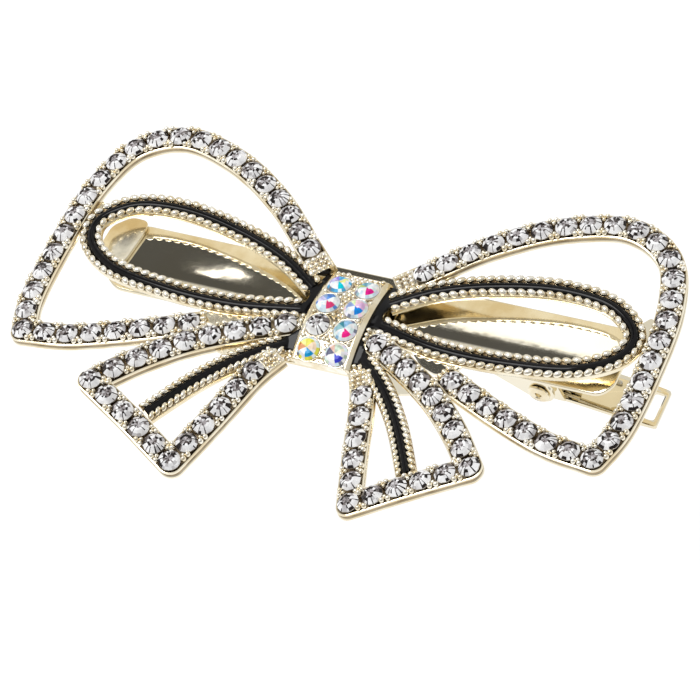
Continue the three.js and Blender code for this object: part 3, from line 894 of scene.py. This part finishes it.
def make_tail(prefix, side):
    curves = tail_curves(side)
    upper, end, back = curves
    start, finish = upper.distance_at_x(START_X), back.length - 0.25
    rail(f"{prefix}_tail_cups", curves, start, finish, tail_lift, [f"{prefix}_tail_frame"])
    upper_places, end_places, back_places = (row[2] for row in tail_rows(side))
    prongs = Batch()
    gap_prongs(prongs, upper, upper_places, tail_lift)
    gap_prongs(prongs, end, [0.0] + end_places, tail_lift)
    gap_prongs(prongs, back, [0.0] + back_places, tail_lift)
    ends = back.length - TAIL_RETURN_LAST + PATCH_TRAIL
    grain_patch(prongs, back, ends, finish - 0.1, tail_lift)
    patch_plate(prongs, back, ends - 0.2, finish, tail_lift)
    prongs.piece(f"{prefix}_tail_prongs", [painted_highlight_gold, painted_shade], slot="plated_casting", smooth=60)


# ---------- beaded bands with enamel ----------

# a rope's pitch, its grains' radii, their slant in degrees, and its distance from the middle line
PETAL_ROPE = (1.32, (0.72, 0.46, 0.48), 20, 1.04)
RIB_ROPE = (1.02, (0.74, 0.36, 0.46), 34, 0.92)
ROPE_HEIGHT = -0.38
BAND_SECTION = [
    (BAND_HALF - 0.1, BAND_BOTTOM), (BAND_HALF, BAND_BOTTOM + 0.12), (BAND_HALF, -0.66),
    (BAND_HALF - 0.1, -0.54), (BAND_HALF - 0.2, -0.56), (CHANNEL_HALF, -0.56), (CHANNEL_HALF, -0.85),
]
SHADED_LEDGE = (3, 4)  # faces of the section that lie under the grains, which get painted shade

ENAMEL_HALF = 0.6
ENAMEL_FLOOR = -0.84
ENAMEL_EDGE = -0.64
ENAMEL_RISE = 0.46
WEB_BOTTOM = -1.35
WEB_TOP = -0.95
WEB_FINISH = {1: 2, -1: 0}  # the right side's webs are polished, the left side's are plain gold


def enamel_section():
    """A domed pool of enamel, a little proud of the channel's walls."""
    turns = [math.pi * k / 12 for k in range(13)]
    top = [(ENAMEL_HALF * math.cos(t), ENAMEL_EDGE + ENAMEL_RISE * math.sin(t)) for t in turns]
    return [(ENAMEL_HALF, ENAMEL_FLOOR)] + top + [(-ENAMEL_HALF, ENAMEL_FLOOR)]


def rope(batch, curve, start, end, u, lift, style):
    """A row of slanted grains beside the channel."""
    pitch, radii, slant, _ = style
    samples = np.linspace(start, end, 600)
    xy = np.array([curve.at(d)[0] + u * curve.at(d)[2] for d in samples])
    run = np.concatenate([[0], np.cumsum(np.linalg.norm(np.diff(xy, axis=0), axis=1))])
    count = round(run[-1] / pitch)
    for i in range(count):
        d = float(np.interp((i + 0.5) * run[-1] / count, run, samples))
        centre, turn = on_surface(curve, d, u, ROPE_HEIGHT, lift)
        bead(batch, centre, radii, turn + math.radians(slant if u > 0 else -slant))


def band(prefix, name, curve, side, lift, reach, webs, style):
    """A band with its channel, its two ropes of grains and the webs cast against it."""
    base = Batch()
    section = mirrored(BAND_SECTION)
    shaded_ledges = SHADED_LEDGE + tuple(len(section) - 2 - k for k in SHADED_LEDGE)
    sweep(base, stations([curve], *reach, 0.5, BAND_HALF), section, lift, shaded_ledges)

    def level(height):
        return lambda x, y: GIRDLE_Z + lift(x, y) + height

    for outline in webs:
        web = rounded([(x * side, y) for x, y in outline], 0.4)
        prism(base, web, level(WEB_BOTTOM), level(WEB_TOP), WEB_FINISH[side])
    part = f"{prefix}_{name}"
    base.piece(f"{part}_band", [gold, painted_shade, polished], replaces=[part], slot="plated_casting", smooth=40)
    grains = Batch()
    for u in (style[-1], -style[-1]):
        rope(grains, curve, *reach, u, lift, style)
    grains.piece(f"{part}_milgrain", [painted_highlight_gold], slot="plated_casting", smooth=60)


def enamel_line(prefix, name, curve, lift, reach):
    pool = Batch()
    sweep(pool, stations([curve], *reach, 0.5, ENAMEL_HALF), enamel_section(), lift)
    part = f"{prefix}_{name}"
    pool.piece(f"{part}_pool", [enamel], replaces=[part], slot="black_enamel", smooth=50)


PETAL_WEBS = [
    [(38.6, 4.0), (40.2, 6.2), (41.6, 5.4), (41.6, 0.4), (39.9, 0.8)],
    [(9.8, -5.0), (15.0, -6.2), (19.6, -6.3), (18.4, -8.6), (16.0, -9.2), (13.6, -8.4)],
]
RIB_WEBS = [[(5.8, -8.4), (11.5, -13.4), (14.4, -13.0), (9.0, -8.6)]]


def make_petal(prefix, side):
    curve = Curve(PETAL, side)
    reach = (curve.distance_at_x(START_X), curve.last_distance_at_x(START_X))
    band(prefix, "petal_frame", curve, side, wing_lift, reach, PETAL_WEBS, PETAL_ROPE)
    enamel_line(prefix, "petal_enamel", curve, wing_lift, reach)


def make_rib(prefix, side):
    curve = Curve(TAIL_RIB, side)
    reach = (curve.distance_at_x(START_X + 0.3), curve.length - 0.9)
    band(prefix, "tail_rib", curve, side, tail_lift, reach, RIB_WEBS, RIB_ROPE)
    reach = (curve.distance_at_x(START_X), curve.length - 1.0)
    enamel_line(prefix, "tail_enamel", curve, tail_lift, reach)


# ---------- knot ----------

KNOT_MIDDLE_Y = (KNOT_TOP_Y + KNOT_BOTTOM_Y) / 2
KNOT_RISE = KNOT_CROWN - KNOT_EDGE
KNOT_RADIUS = ((KNOT_TOP_Y - KNOT_BOTTOM_Y) ** 2 / 4 + KNOT_RISE**2) / (2 * KNOT_RISE)
DOME_EDGE = ((3.6, 0.0), (3.74, 0.1), (3.9, 0.7))  # the dome's rounded side: distance from the middle, drop
FLANGE_DROP = 0.85
EDGING_DROP = 0.5  # of the enamel and the side grains below the dome


def dome_height(y):
    reach = KNOT_RADIUS**2 - (y - KNOT_MIDDLE_Y) ** 2
    return GIRDLE_Z + KNOT_CROWN - KNOT_RADIUS + math.sqrt(reach)


def on_knot(y, inset=0.0):
    """A plan y brought inside the knot's two ends."""
    return min(KNOT_TOP_Y - inset, max(KNOT_BOTTOM_Y + inset, y))


def dome(y, proud=0.0):
    """(y, z) on the knot's dome at a plan y, moved outwards by `proud`."""
    angle = math.asin((y - KNOT_MIDDLE_Y) / KNOT_RADIUS)
    reach = KNOT_RADIUS + proud
    z = GIRDLE_Z + KNOT_CROWN - KNOT_RADIUS + reach * math.cos(angle)
    return KNOT_MIDDLE_Y + reach * math.sin(angle), z, angle


def knot_places():
    out = []
    for row in range(4):
        y = KNOT_ROWS_Y + (1.5 - row) * KNOT_ROW_PITCH
        out += [(-KNOT_COLUMN, y), (KNOT_COLUMN, y)]
    return out


def make_knot_body():
    """The domed plate and the flanges that carry the enamel edging."""
    sides = [(-x, drop) for x, drop in reversed(DOME_EDGE)] + list(DOME_EDGE)
    rings = []
    for x, drop in sides:
        ring = [(x, KNOT_BOTTOM_Y, GIRDLE_Z + KNOT_BACK), (x, KNOT_TOP_Y, GIRDLE_Z + KNOT_BACK)]
        for y in spaced(KNOT_TOP_Y, KNOT_BOTTOM_Y, 29):
            cy, cz, _ = dome(y, -drop - 0.02)
            ring.append((x, on_knot(cy), cz))
        rings.append(ring)
    plate = Batch()
    loft(plate, rings)
    plate.piece("knot_dome", [painted_highlight_gold], replaces=["knot_plate"], slot="plated_casting", smooth=35)
    base = Batch()
    ends = (KNOT_BOTTOM_Y, KNOT_TOP_Y - 0.5)
    prism(base, rounded(rectangle(FLANGE_HALF, *ends), 0.5), -0.6, 0)
    flange = soften(base.piece("knot_flange", [gold], slot="plated_casting"), 0.12)
    follow(flange, lambda x, y: dome_height(on_knot(y)) - FLANGE_DROP)


def dome_basis(angle):
    """Rows are the dome's own x, y and up directions."""
    c, s = math.cos(angle), math.sin(angle)
    return np.array([(1, 0, 0), (0, c, -s), (0, s, c)])


def turned_on_dome(batch, x, y, profile, proud):
    """A ring on the dome, turned from a profile of (radius, height) closed on itself."""
    cy, cz, angle = dome(y, proud)
    points = [(r * math.cos(t), r * math.sin(t), h) for t in circle(36) for r, h in profile]
    points = np.array(points) @ dome_basis(angle) + (x, cy, cz)
    batch.add(points, quads(36, len(profile), wrap=True))


def disc_on_dome(batch, x, y, radius, proud):
    """The floor of a stone's seat, painted dark as shade."""
    cy, cz, angle = dome(y, proud)
    points = [(radius * math.cos(t), radius * math.sin(t), h) for h in (-0.12, 0.0) for t in circle(36)]
    batch.add(np.array(points) @ dome_basis(angle) + (x, cy, cz), prism_faces(36), 1)


# each iridescent stone's painted reflections: far-side colours, flank colour and glint colour; None stands
# for a clear stone
KNOT_SCHEMES = [
    ([(0.10, 0.42, 0.72), (0.26, 0.22, 0.66), (0.55, 0.50, 0.80)], (0.93, 0.93, 0.30), (0.0, 0.60, 0.72)),
    ([(0.45, 0.70, 0.80), (0.18, 0.42, 0.55), (0.50, 0.62, 0.22)], (0.84, 0.96, 0.97), (0.80, 0.01, 0.28)),
    ([(0.12, 0.30, 0.75), (0.35, 0.50, 0.80), (0.62, 0.60, 0.88)], (0.86, 0.97, 0.98), (0.85, 0.06, 0.22)),
    ([(0.88, 0.62, 0.72), (0.72, 0.93, 0.50), (0.30, 0.42, 0.75)], (0.80, 0.50, 0.80), (0.01, 0.26, 0.78)),
    None,
    ([(0.30, 0.55, 0.80), (0.05, 0.26, 0.34), (0.35, 0.62, 0.66)], (0.78, 0.95, 0.96), (0.85, 0.02, 0.25)),
    ([(0.90, 0.85, 0.10), (0.93, 0.90, 0.25), (0.75, 0.30, 0.10)], (0.96, 0.75, 0.55), (0.01, 0.35, 0.72)),
    ([(0.60, 0.75, 0.60), (0.90, 0.55, 0.45), (0.10, 0.11, 0.22)], (0.97, 0.88, 0.66), (0.05, 0.06, 0.62)),
]


COLLAR_GAP = 0.11  # from a stone's edge to the middle of its collar
COLLAR_WIRE = (0.085, 0.102)  # half of the collar's width and of its height


def make_knot_stones():
    """The knot's eight stones, each in a thin collar over a seat painted dark as shade."""
    collars = Batch()
    radius = STONE_RADIUS * KNOT_STONE_SCALE
    wide, high = COLLAR_WIRE
    collar = [(radius + COLLAR_GAP + wide * math.cos(t), high * math.sin(t)) for t in circle(8)]
    for index, ((x, y), scheme) in enumerate(zip(knot_places(), KNOT_SCHEMES)):
        cy, cz, angle = dome(y, 0.2)
        batch = Batch()
        tone, edges = (aurora_painted_reflection(scheme), even_edges) if scheme else (clear_painted_reflection, ray_edges)
        stone(batch, np.array([x, cy, cz]), radius, tone, edges, dome_basis(angle))
        part = f"knot_stone_{index + 1}"
        surface, slot = (aurora, "aurora_crystal") if scheme else (crystal, "clear_crystal")
        batch.piece(f"{part}_cut", [surface], replaces=[part], slot=slot)
        turned_on_dome(collars, x, y, collar, 0.08)
        disc_on_dome(collars, x, y, radius + 0.06, 0.05)
    collars.piece("knot_collars", [painted_highlight_gold, painted_shade], slot="plated_casting", smooth=60)


DIMPLE_SHARE = 0.25  # of the spots between the stones, dimples painted dark as shade
GRAIN_STEPS = (0.72, 0.6)  # from grain to grain along a row, and from row to row
SIDE_GRAINS = ((4.78, -5.0, -6.5, 3), (4.7, -10.2, -11.0, 2))  # x, first y, last y, count


def make_knot_prongs():
    """Grains and dimples painted dark as shade between the knot's stones, and the grains beside its edging.
    """
    grains = Batch()
    reach = STONE_RADIUS * KNOT_STONE_SCALE + 0.02
    row, y = 0, KNOT_TOP_Y - 0.3
    while y > KNOT_BOTTOM_Y + 0.2:
        x = -3.4 + row % 2 * GRAIN_STEPS[0] / 2
        while x < 3.5:
            size = rng.uniform(0.28, 0.4)
            px, py = x + rng.uniform(-0.09, 0.09), y + rng.uniform(-0.07, 0.07)
            if all(math.hypot(px - a, py - b) > reach + size * 0.4 for a, b in knot_places()):
                knot_grain(grains, px, on_knot(py, 0.1), size)
            x += GRAIN_STEPS[0]
        y -= GRAIN_STEPS[1]
        row += 1
    for x, first, last, count in SIDE_GRAINS:
        for y in spaced(first, last, count):
            for sign in (-1, 1):
                bead(grains, np.array([sign * x, y, dome_height(y) - EDGING_DROP]), (0.36, 0.36, 0.36))
    grains.piece("knot_prongs", [painted_highlight_gold, painted_shade], slot="plated_casting", smooth=60)


def knot_grain(batch, x, y, size):
    """A grain on the dome, or now and then a dimple painted dark as shade."""
    if rng.random() < DIMPLE_SHARE:
        bead(batch, np.array([x, *dome(y)[:2]]), (0.2, 0.2, 0.12), 0, 1)
    else:
        bead(batch, np.array([x, *dome(y, size * 0.2)[:2]]), (size, size, size), rng.uniform(0, 1))


# plan of the enamel beside the knot, with a branch into each channel
POOL = [
    (3.9, 3.0), (5.1, 3.0), (5.15, 2.0), (5.3, 1.3), (5.7, 0.95), (6.5, 1.15), (7.2, 1.5), (7.8, 0.6),
    (6.9, 0.0), (6.1, -0.6), (5.6, -1.2), (5.4, -2.0), (5.6, -2.8), (6.2, -3.2), (7.4, -3.45), (7.2, -4.7),
    (5.9, -4.5), (5.0, -4.4), (4.45, -4.8), (4.42, -6.5), (4.8, -7.1), (5.5, -7.9), (6.1, -8.75),
    (7.0, -9.5), (6.2, -10.6), (5.5, -10.0), (4.9, -9.8), (3.9, -9.9),
]


POOL_SPLIT_Y = -6  # the petal's branch lies above, the rib's below
POOL_LEAVES_X = 4.9
POOL_BLEND = 1.4
POOL_DROP = 0.27  # of the enamel in a channel below the girdles


def pool_height(x, y):
    """Height of the enamel: the dome's beside the knot, the wing's or the tail's further out."""
    lift = wing_lift if y > POOL_SPLIT_Y else tail_lift
    share = min(1.0, max(0.0, (abs(x) - POOL_LEAVES_X) / POOL_BLEND))
    share = share * share * (3 - 2 * share)
    return (dome_height(y) - EDGING_DROP) * (1 - share) + (GIRDLE_Z + lift(x, y) - POOL_DROP) * share


def make_knot_edging(prefix, side):
    """Enamel along the knot's long side, pooling into the petal's and the rib's channels."""
    pool = Batch()
    prism(pool, rounded([(x * side, y) for x, y in POOL], 0.5, 3), -0.5, 0)
    part = f"{prefix}_knot_enamel"
    obj = pool.piece(f"{part}_pool", [enamel], replaces=[part], slot="black_enamel")
    follow(soften(obj, 0.16, 4), pool_height)


# section of the bright strip beside the dome: aside of its middle, over the dome
STRIP = ((-0.25, 0.08), (-0.15, 0.14), (0.05, 0.14), (0.2, 0.08), (0.6, -0.22), (0.62, -0.75), (-0.25, -0.75))
STRIP_X = 3.7


def make_knot_trim():
    """Plain bright strips along the knot's long sides and the lips at its two ends."""
    trim = Batch()
    for sign in (-1, 1):
        rings = []
        for y in np.linspace(KNOT_BOTTOM_Y + 0.1, KNOT_TOP_Y - 0.1, 25):
            cy, cz, _ = dome(y, 0.05)
            rings.append([(sign * (STRIP_X + dx), cy, cz + dz) for dx, dz in STRIP])
        loft(trim, rings)
    for y, up in ((KNOT_TOP_Y - 0.15, -0.1), (KNOT_BOTTOM_Y + 0.15, 0.0)):
        cy, cz, _ = dome(y)
        tube(trim, [(x, cy, cz + up) for x in np.linspace(-3.8, 3.8, 12)], 0.2, 10)
    trim.piece("knot_trim", [gold], slot="plated_casting", smooth=50)


# ---------- clip ----------

PLATE_LIP = 0.2  # the plate reaches past its flat by this much
CROWN_DROP = 0.03
NEAR_Y = -1.0  # the plate's near side falls away from here
NEAR_SLOPE = 0.028
EAR_RADIUS = 2.0
FLANGE_RADIUS = 2.3
EAR_FRONT = [(18.0, UPPER_TOP - 0.3), (PIN_X - 1.2, PIN_Z - 1.6)]
FLANGE_FRONT = [(21.5, 0.6), (16.5, 0.6), (16.5, 0.1), (18.3, 0.1), (24.4, -5.2), (30.0, -5.5)]
THROUGH_Z = (-12, 4)  # from below the handle to above the gripping strip
LOWER_TIP = [(LOWER_PATH[0][0], -LOWER_HALF + 1.9), (LOWER_PATH[0][0] + 1.6, -LOWER_HALF)]
HANDLE_PLAN = [
    (19.2, -LOWER_HALF), (26.0, -HANDLE_HALF), (38.0, -HANDLE_HALF), (39.6, -HANDLE_HALF - 0.05),
    (42.05, -HANDLE_HALF + 0.1), (42.35, -HANDLE_HALF + 0.7),
]
HANDLE_SLOT = [(40.1, -2.15), (41.65, -2.15)]
HOLE_X = 32.6
HOLE_RADIUS = 0.75
TIP_BRACKET = [
    (-38.4, 0.2), (-38.2, 3.6), (-36.0, 5.6), (-33.4, 5.5), (-33.2, 3.6), (-33.9, -1.6), (-36.2, -2.2),
]


def metal(batch, name, width, segments=3, **how):
    """A piece in the polished plating, with softened edges."""
    return soften(batch.piece(name, [polished], slot="polished_steel", **how), width, segments)


def both_sides(near):
    """A plan outline from its near half, mirrored over the clip's middle."""
    return near + [(x, -y) for x, y in reversed(near)]


def pin_arc(radius, turns):
    return [(PIN_X + radius * math.cos(t * math.pi), PIN_Z + radius * math.sin(t * math.pi)) for t in turns]


def side_plates(outline, outside):
    """Two upright plates, mirrored over the clip's middle."""
    batch = Batch()
    for sign in (-1, 1):
        side_prism(batch, outline, sign * (outside - SHEET), sign * outside)
    return batch


def make_upper_jaw():
    """The pressed upper plate, gently crowned, with the two ears that hold the pin."""
    half = UPPER_HALF + PLATE_LIP
    near = [
        (UPPER_TIP_X, -half + 3.0), (UPPER_TIP_X + 0.8, -half + 1.3), (UPPER_TIP_X + 2.6, -half),
        (UPPER_REAR_X - 1.6, -half), (UPPER_REAR_X, -half + 1.6),
    ]
    plate = Batch()
    prism(plate, rounded(both_sides(near), 1.2), UPPER_TOP - SHEET, UPPER_TOP)
    crown(metal(plate, "upper_jaw_plate", 0.18, 4, replaces=["upper_jaw"]))
    ear = EAR_FRONT + pin_arc(EAR_RADIUS, np.linspace(-0.7, 0.25, 14)) + [(EAR_END_X, UPPER_TOP - 0.3)]
    metal(side_plates(ear, EAR_HALF), "upper_jaw_ears", 0.12)


def crown(obj):
    """Gives the flat plate a slight crown and a near side that slopes away, cut finely so that the
    smooth shading follows both."""
    planes = [((0, y, 0), (0, 1, 0)) for y in np.linspace(-4.8, 4.95, 26)]
    planes += [((x, 0, 0), (1, 0, 0)) for x in np.linspace(UPPER_TIP_X + 0.5, UPPER_REAR_X - 0.5, 24)]
    reshape(obj, planes,
        lambda x, y: -CROWN_DROP * (y / UPPER_HALF) ** 2 - NEAR_SLOPE * max(0.0, NEAR_Y - y) ** 2)


def cutter(outline):
    """A tool for `cut` that goes through the lower jaw."""
    batch = Batch()
    prism(batch, outline, *THROUGH_Z)
    mesh = millimetre_mesh("cutter", batch)
    clean(mesh)
    return linked("cutter", mesh)


def make_lower_jaw():
    """The lower strip with its bends, side flanges, thumb handle, slot and hole."""
    line = np.array(rounded_line(LOWER_PATH, 1.6))
    normals = []
    for i in range(len(line)):
        along = line[min(len(line) - 1, i + 1)] - line[max(0, i - 1)]
        normals.append(np.array([-along[1], along[0]]) / np.linalg.norm(along))
    offset = np.array(normals) * SHEET / 2
    strip = Batch()
    side_prism(strip, [*(line + offset), *(line - offset)[::-1]], -UPPER_HALF, UPPER_HALF)
    obj = strip.piece("lower_jaw_strip", [polished], body=JAW, replaces=["lower_jaw"], slot="polished_steel")
    cut(obj, cutter(rounded(both_sides(LOWER_TIP + HANDLE_PLAN), 0.7)), operation="INTERSECT")
    slot = rounded(both_sides(HANDLE_SLOT), 0.5)
    hole = [(HOLE_X + HOLE_RADIUS * math.cos(t), HOLE_RADIUS * math.sin(t)) for t in circle(32)]
    cut(obj, cutter(slot), cutter(hole))
    soften(obj, 0.1, 2)
    flange = FLANGE_FRONT + pin_arc(FLANGE_RADIUS, np.linspace(0, 0.55, 12))
    metal(side_plates(flange, LOWER_HALF), "lower_jaw_flanges", 0.1, body=JAW)


def make_pin():
    """A tubular rivet: rolled heads outside the ears, hollow inside."""
    head = [(0.42, 0.45), (0.62, 0.6), (1.2, 0.56), (1.5, 0.36), (1.52, 0.16), (1.4, 0.1), (0.8, 0.1)]
    profile = [(r, -EAR_HALF - out) for r, out in head]
    pin = Batch()
    lathe_y(pin, PIN_X, PIN_Z, profile + [(r, -y) for r, y in reversed(profile)])
    pin.piece("pivot_rivet", [gold], replaces=["pivot_pin"], slot="plated_casting", smooth=40)


# the spring's legs, as offsets from the pin along X and Z
UPPER_LEG = [(9, 3.45), (6.5, 2.85), (4, 2.05), (2.0, 1.5), (1.0, 1.3)]
LOWER_LEG = [(2.1, -1.2), (3.2, -1.62), (5, -2.1), (8.5, -2.85)]


def make_spring():
    """The wound spring with its upper leg, and the lower leg that turns with the jaw."""
    half = COIL_TURNS * COIL_PITCH / 2
    around = 28
    points = [(PIN_X + x, -half, PIN_Z + z) for x, z in UPPER_LEG]
    for i in range(COIL_TURNS * around + 1):
        turn = math.pi / 2 + i / around * 2 * math.pi
        y = -half + i / around * COIL_PITCH
        points.append((PIN_X + COIL_RADIUS * math.cos(turn), y, PIN_Z + COIL_RADIUS * math.sin(turn)))
    coil = Batch()
    tube(coil, points, WIRE_RADIUS)
    coil.piece("torsion_coil", [steel], replaces=["torsion_spring"], slot="spring_steel", smooth=60)
    leg = Batch()
    tube(leg, [(PIN_X + x, half, PIN_Z + z) for x, z in LOWER_LEG], WIRE_RADIUS)
    leg.piece("torsion_leg", [steel], body=JAW, replaces=["spring_lower_leg"], slot="spring_steel", smooth=60)


def make_joints():
    """The bracket under the left petal's tip and the soldered pad under the knot."""
    bracket = Batch()
    prism(bracket, rounded(TIP_BRACKET, 0.9), UPPER_TOP + 0.05, UPPER_TOP + SHEET)
    soften(bracket.piece("tip_bracket_plate", [gold], replaces=["tip_bracket"], slot="plated_casting"), 0.12)
    pad = Batch()
    prism(pad, rounded(rectangle(4, -3.2, 3.2), 1.2), UPPER_TOP + 0.05, GIRDLE_Z + KNOT_BACK)
    soften(pad.piece("solder_fillet", [solder], replaces=["solder_pad_knot"], slot="solder"), 0.15)


# ---------- light and camera ----------

FLOOR_Z = -40.0  # clear of the opened lower jaw
CARD_WAY = (130.4, 50.6)  # plan direction and elevation of the dark card
CARD_RADIUS = 9.0  # degrees
CUT_WAYS = ((85.18, -30.08), (0.0, 27.6))  # poles of the two planes that bound the card's lit part
CUT_BLUR = 0.0006
CARD_DARK, CARD_BRIGHT = 0.1, 1.7
TENT_WAY = (131.0, 30.0)
TENT_DIM, TENT_BRIGHT = 0.28, 0.82


def make_floor():
    bpy.ops.mesh.primitive_plane_add(size=4, location=(0, 0, FLOOR_Z * MM))
    floor = bpy.context.object
    floor.name = "floor"
    made, tree, shader = material("pale_floor")
    fill(tree, shader, {
        "Base Color": (0.25, 0.25, 0.25, 1),
        "Roughness": 0.9,
        "Specular IOR Level": 0.0,
        "Emission Color": (1, 1, 1, 1),
        "Emission Strength": 0.84,
    })
    floor.data.materials.append(made)


def area_light(name, place, size, power):
    """A panel at a place in metres, facing the origin."""
    light = bpy.data.lights.new(name, "AREA")
    light.shape = "RECTANGLE"
    light.size, light.size_y = size
    light.energy = power
    obj = linked(name, light)
    obj.location = place
    obj.rotation_mode = "QUATERNION"
    obj.rotation_quaternion = (-Vector(place)).to_track_quat("-Z", "Y")


def way(turn, height):
    """Unit vector towards a plan direction and an elevation, in degrees."""
    a, e = math.radians(turn), math.radians(height)
    return (math.cos(a) * math.cos(e), math.sin(a) * math.cos(e), math.sin(e))


def facing(tree, direction, low, high):
    """1 where a sky direction lies along `direction` by more than `high`, 0 where by less than `low`."""
    sky = node(tree, "TexCoord").outputs["Generated"]
    along = node(tree, "VectorMath", {0: sky, 1: direction}, operation="DOT_PRODUCT").outputs["Value"]
    return node(tree, "MapRange", {"Value": along, "From Min": low, "From Max": high}).outputs["Result"]


def blend(tree, operation, *values):
    return node(tree, "Math", dict(enumerate(values)), operation=operation).outputs["Value"]


def make_light():
    """A pale tent, dimmer behind the camera. Where level metal mirrors it hangs a round card, dark but
    for the part that two planes cut out of it."""
    world = bpy.data.worlds.new("studio")
    world.use_nodes = True
    tree = world.node_tree
    rim = [math.cos(math.radians(CARD_RADIUS - soft)) for soft in (0, 2)]
    card = facing(tree, way(*CARD_WAY), *rim)
    lit = blend(tree, "MULTIPLY", *(facing(tree, way(*pole), -CUT_BLUR, CUT_BLUR) for pole in CUT_WAYS))
    ahead = facing(tree, way(*TENT_WAY), -0.7, 0.3)
    tent = blend(tree, "MULTIPLY_ADD", ahead, TENT_BRIGHT - TENT_DIM, TENT_DIM)
    glow = blend(tree, "MULTIPLY_ADD", lit, CARD_BRIGHT - CARD_DARK, CARD_DARK)
    step = blend(tree, "MULTIPLY", card, blend(tree, "SUBTRACT", glow, tent))
    fill(tree, tree.nodes["Background"], {
        "Strength": blend(tree, "ADD", tent, step),
        "Color": (1.0, 1.0, 0.99, 1),
    })
    bpy.context.scene.world = world
    area_light("overhead", (-0.21, -0.05, 0.6), (0.3, 0.32), 1.9)
    area_light("window", (-0.2831, 0.2870, 0.4584), (0.012, 0.0045), 0.0005)
    bpy.context.scene.view_settings.view_transform = "Standard"


CAMERA_AZIMUTH = 41.038
CAMERA_ELEVATION = 50.961
CAMERA_ROLL = -21.501
CAMERA_DISTANCE = 661.5  # mm
CAMERA_LENS = 261.3  # mm on a 36 mm sensor
CAMERA_ASIDE = -0.081  # mm, how far the camera stands right of the aim
CAMERA_ABOVE = -7.189  # mm, how far it stands above the aim
CAMERA_AIM = (0.0, -0.3, 4.0)


def make_camera():
    a, e, r = (math.radians(v) for v in (CAMERA_AZIMUTH, CAMERA_ELEVATION, CAMERA_ROLL))
    back = Vector((math.sin(a) * math.cos(e), -math.cos(a) * math.cos(e), math.sin(e)))
    level = Vector((math.cos(a), math.sin(a), 0))
    up = level.cross(-back)
    right = math.cos(r) * level + math.sin(r) * up
    above = math.cos(r) * up - math.sin(r) * level
    place = Vector(CAMERA_AIM) + back * CAMERA_DISTANCE + right * CAMERA_ASIDE + above * CAMERA_ABOVE
    camera = bpy.data.cameras.new("camera")
    camera.sensor_width = 36
    camera.lens = CAMERA_LENS
    camera.clip_start, camera.clip_end = 0.01, 10
    obj = linked("camera", camera)
    stand = Matrix((right, above, back)).transposed().to_4x4()
    stand.translation = [value * MM for value in place]
    obj.matrix_world = stand
    bpy.context.scene.camera = obj


# ---------- the scene ----------

for prefix, side in SIDES:
    make_wing(prefix, side)
    make_tail(prefix, side)
    make_petal(prefix, side)
    make_rib(prefix, side)
    make_stones(prefix, side)
    make_knot_edging(prefix, side)
make_knot_body()
make_knot_stones()
make_knot_prongs()
make_knot_trim()
make_upper_jaw()
make_lower_jaw()
make_pin()
make_spring()
make_joints()
make_floor()
make_light()
make_camera()
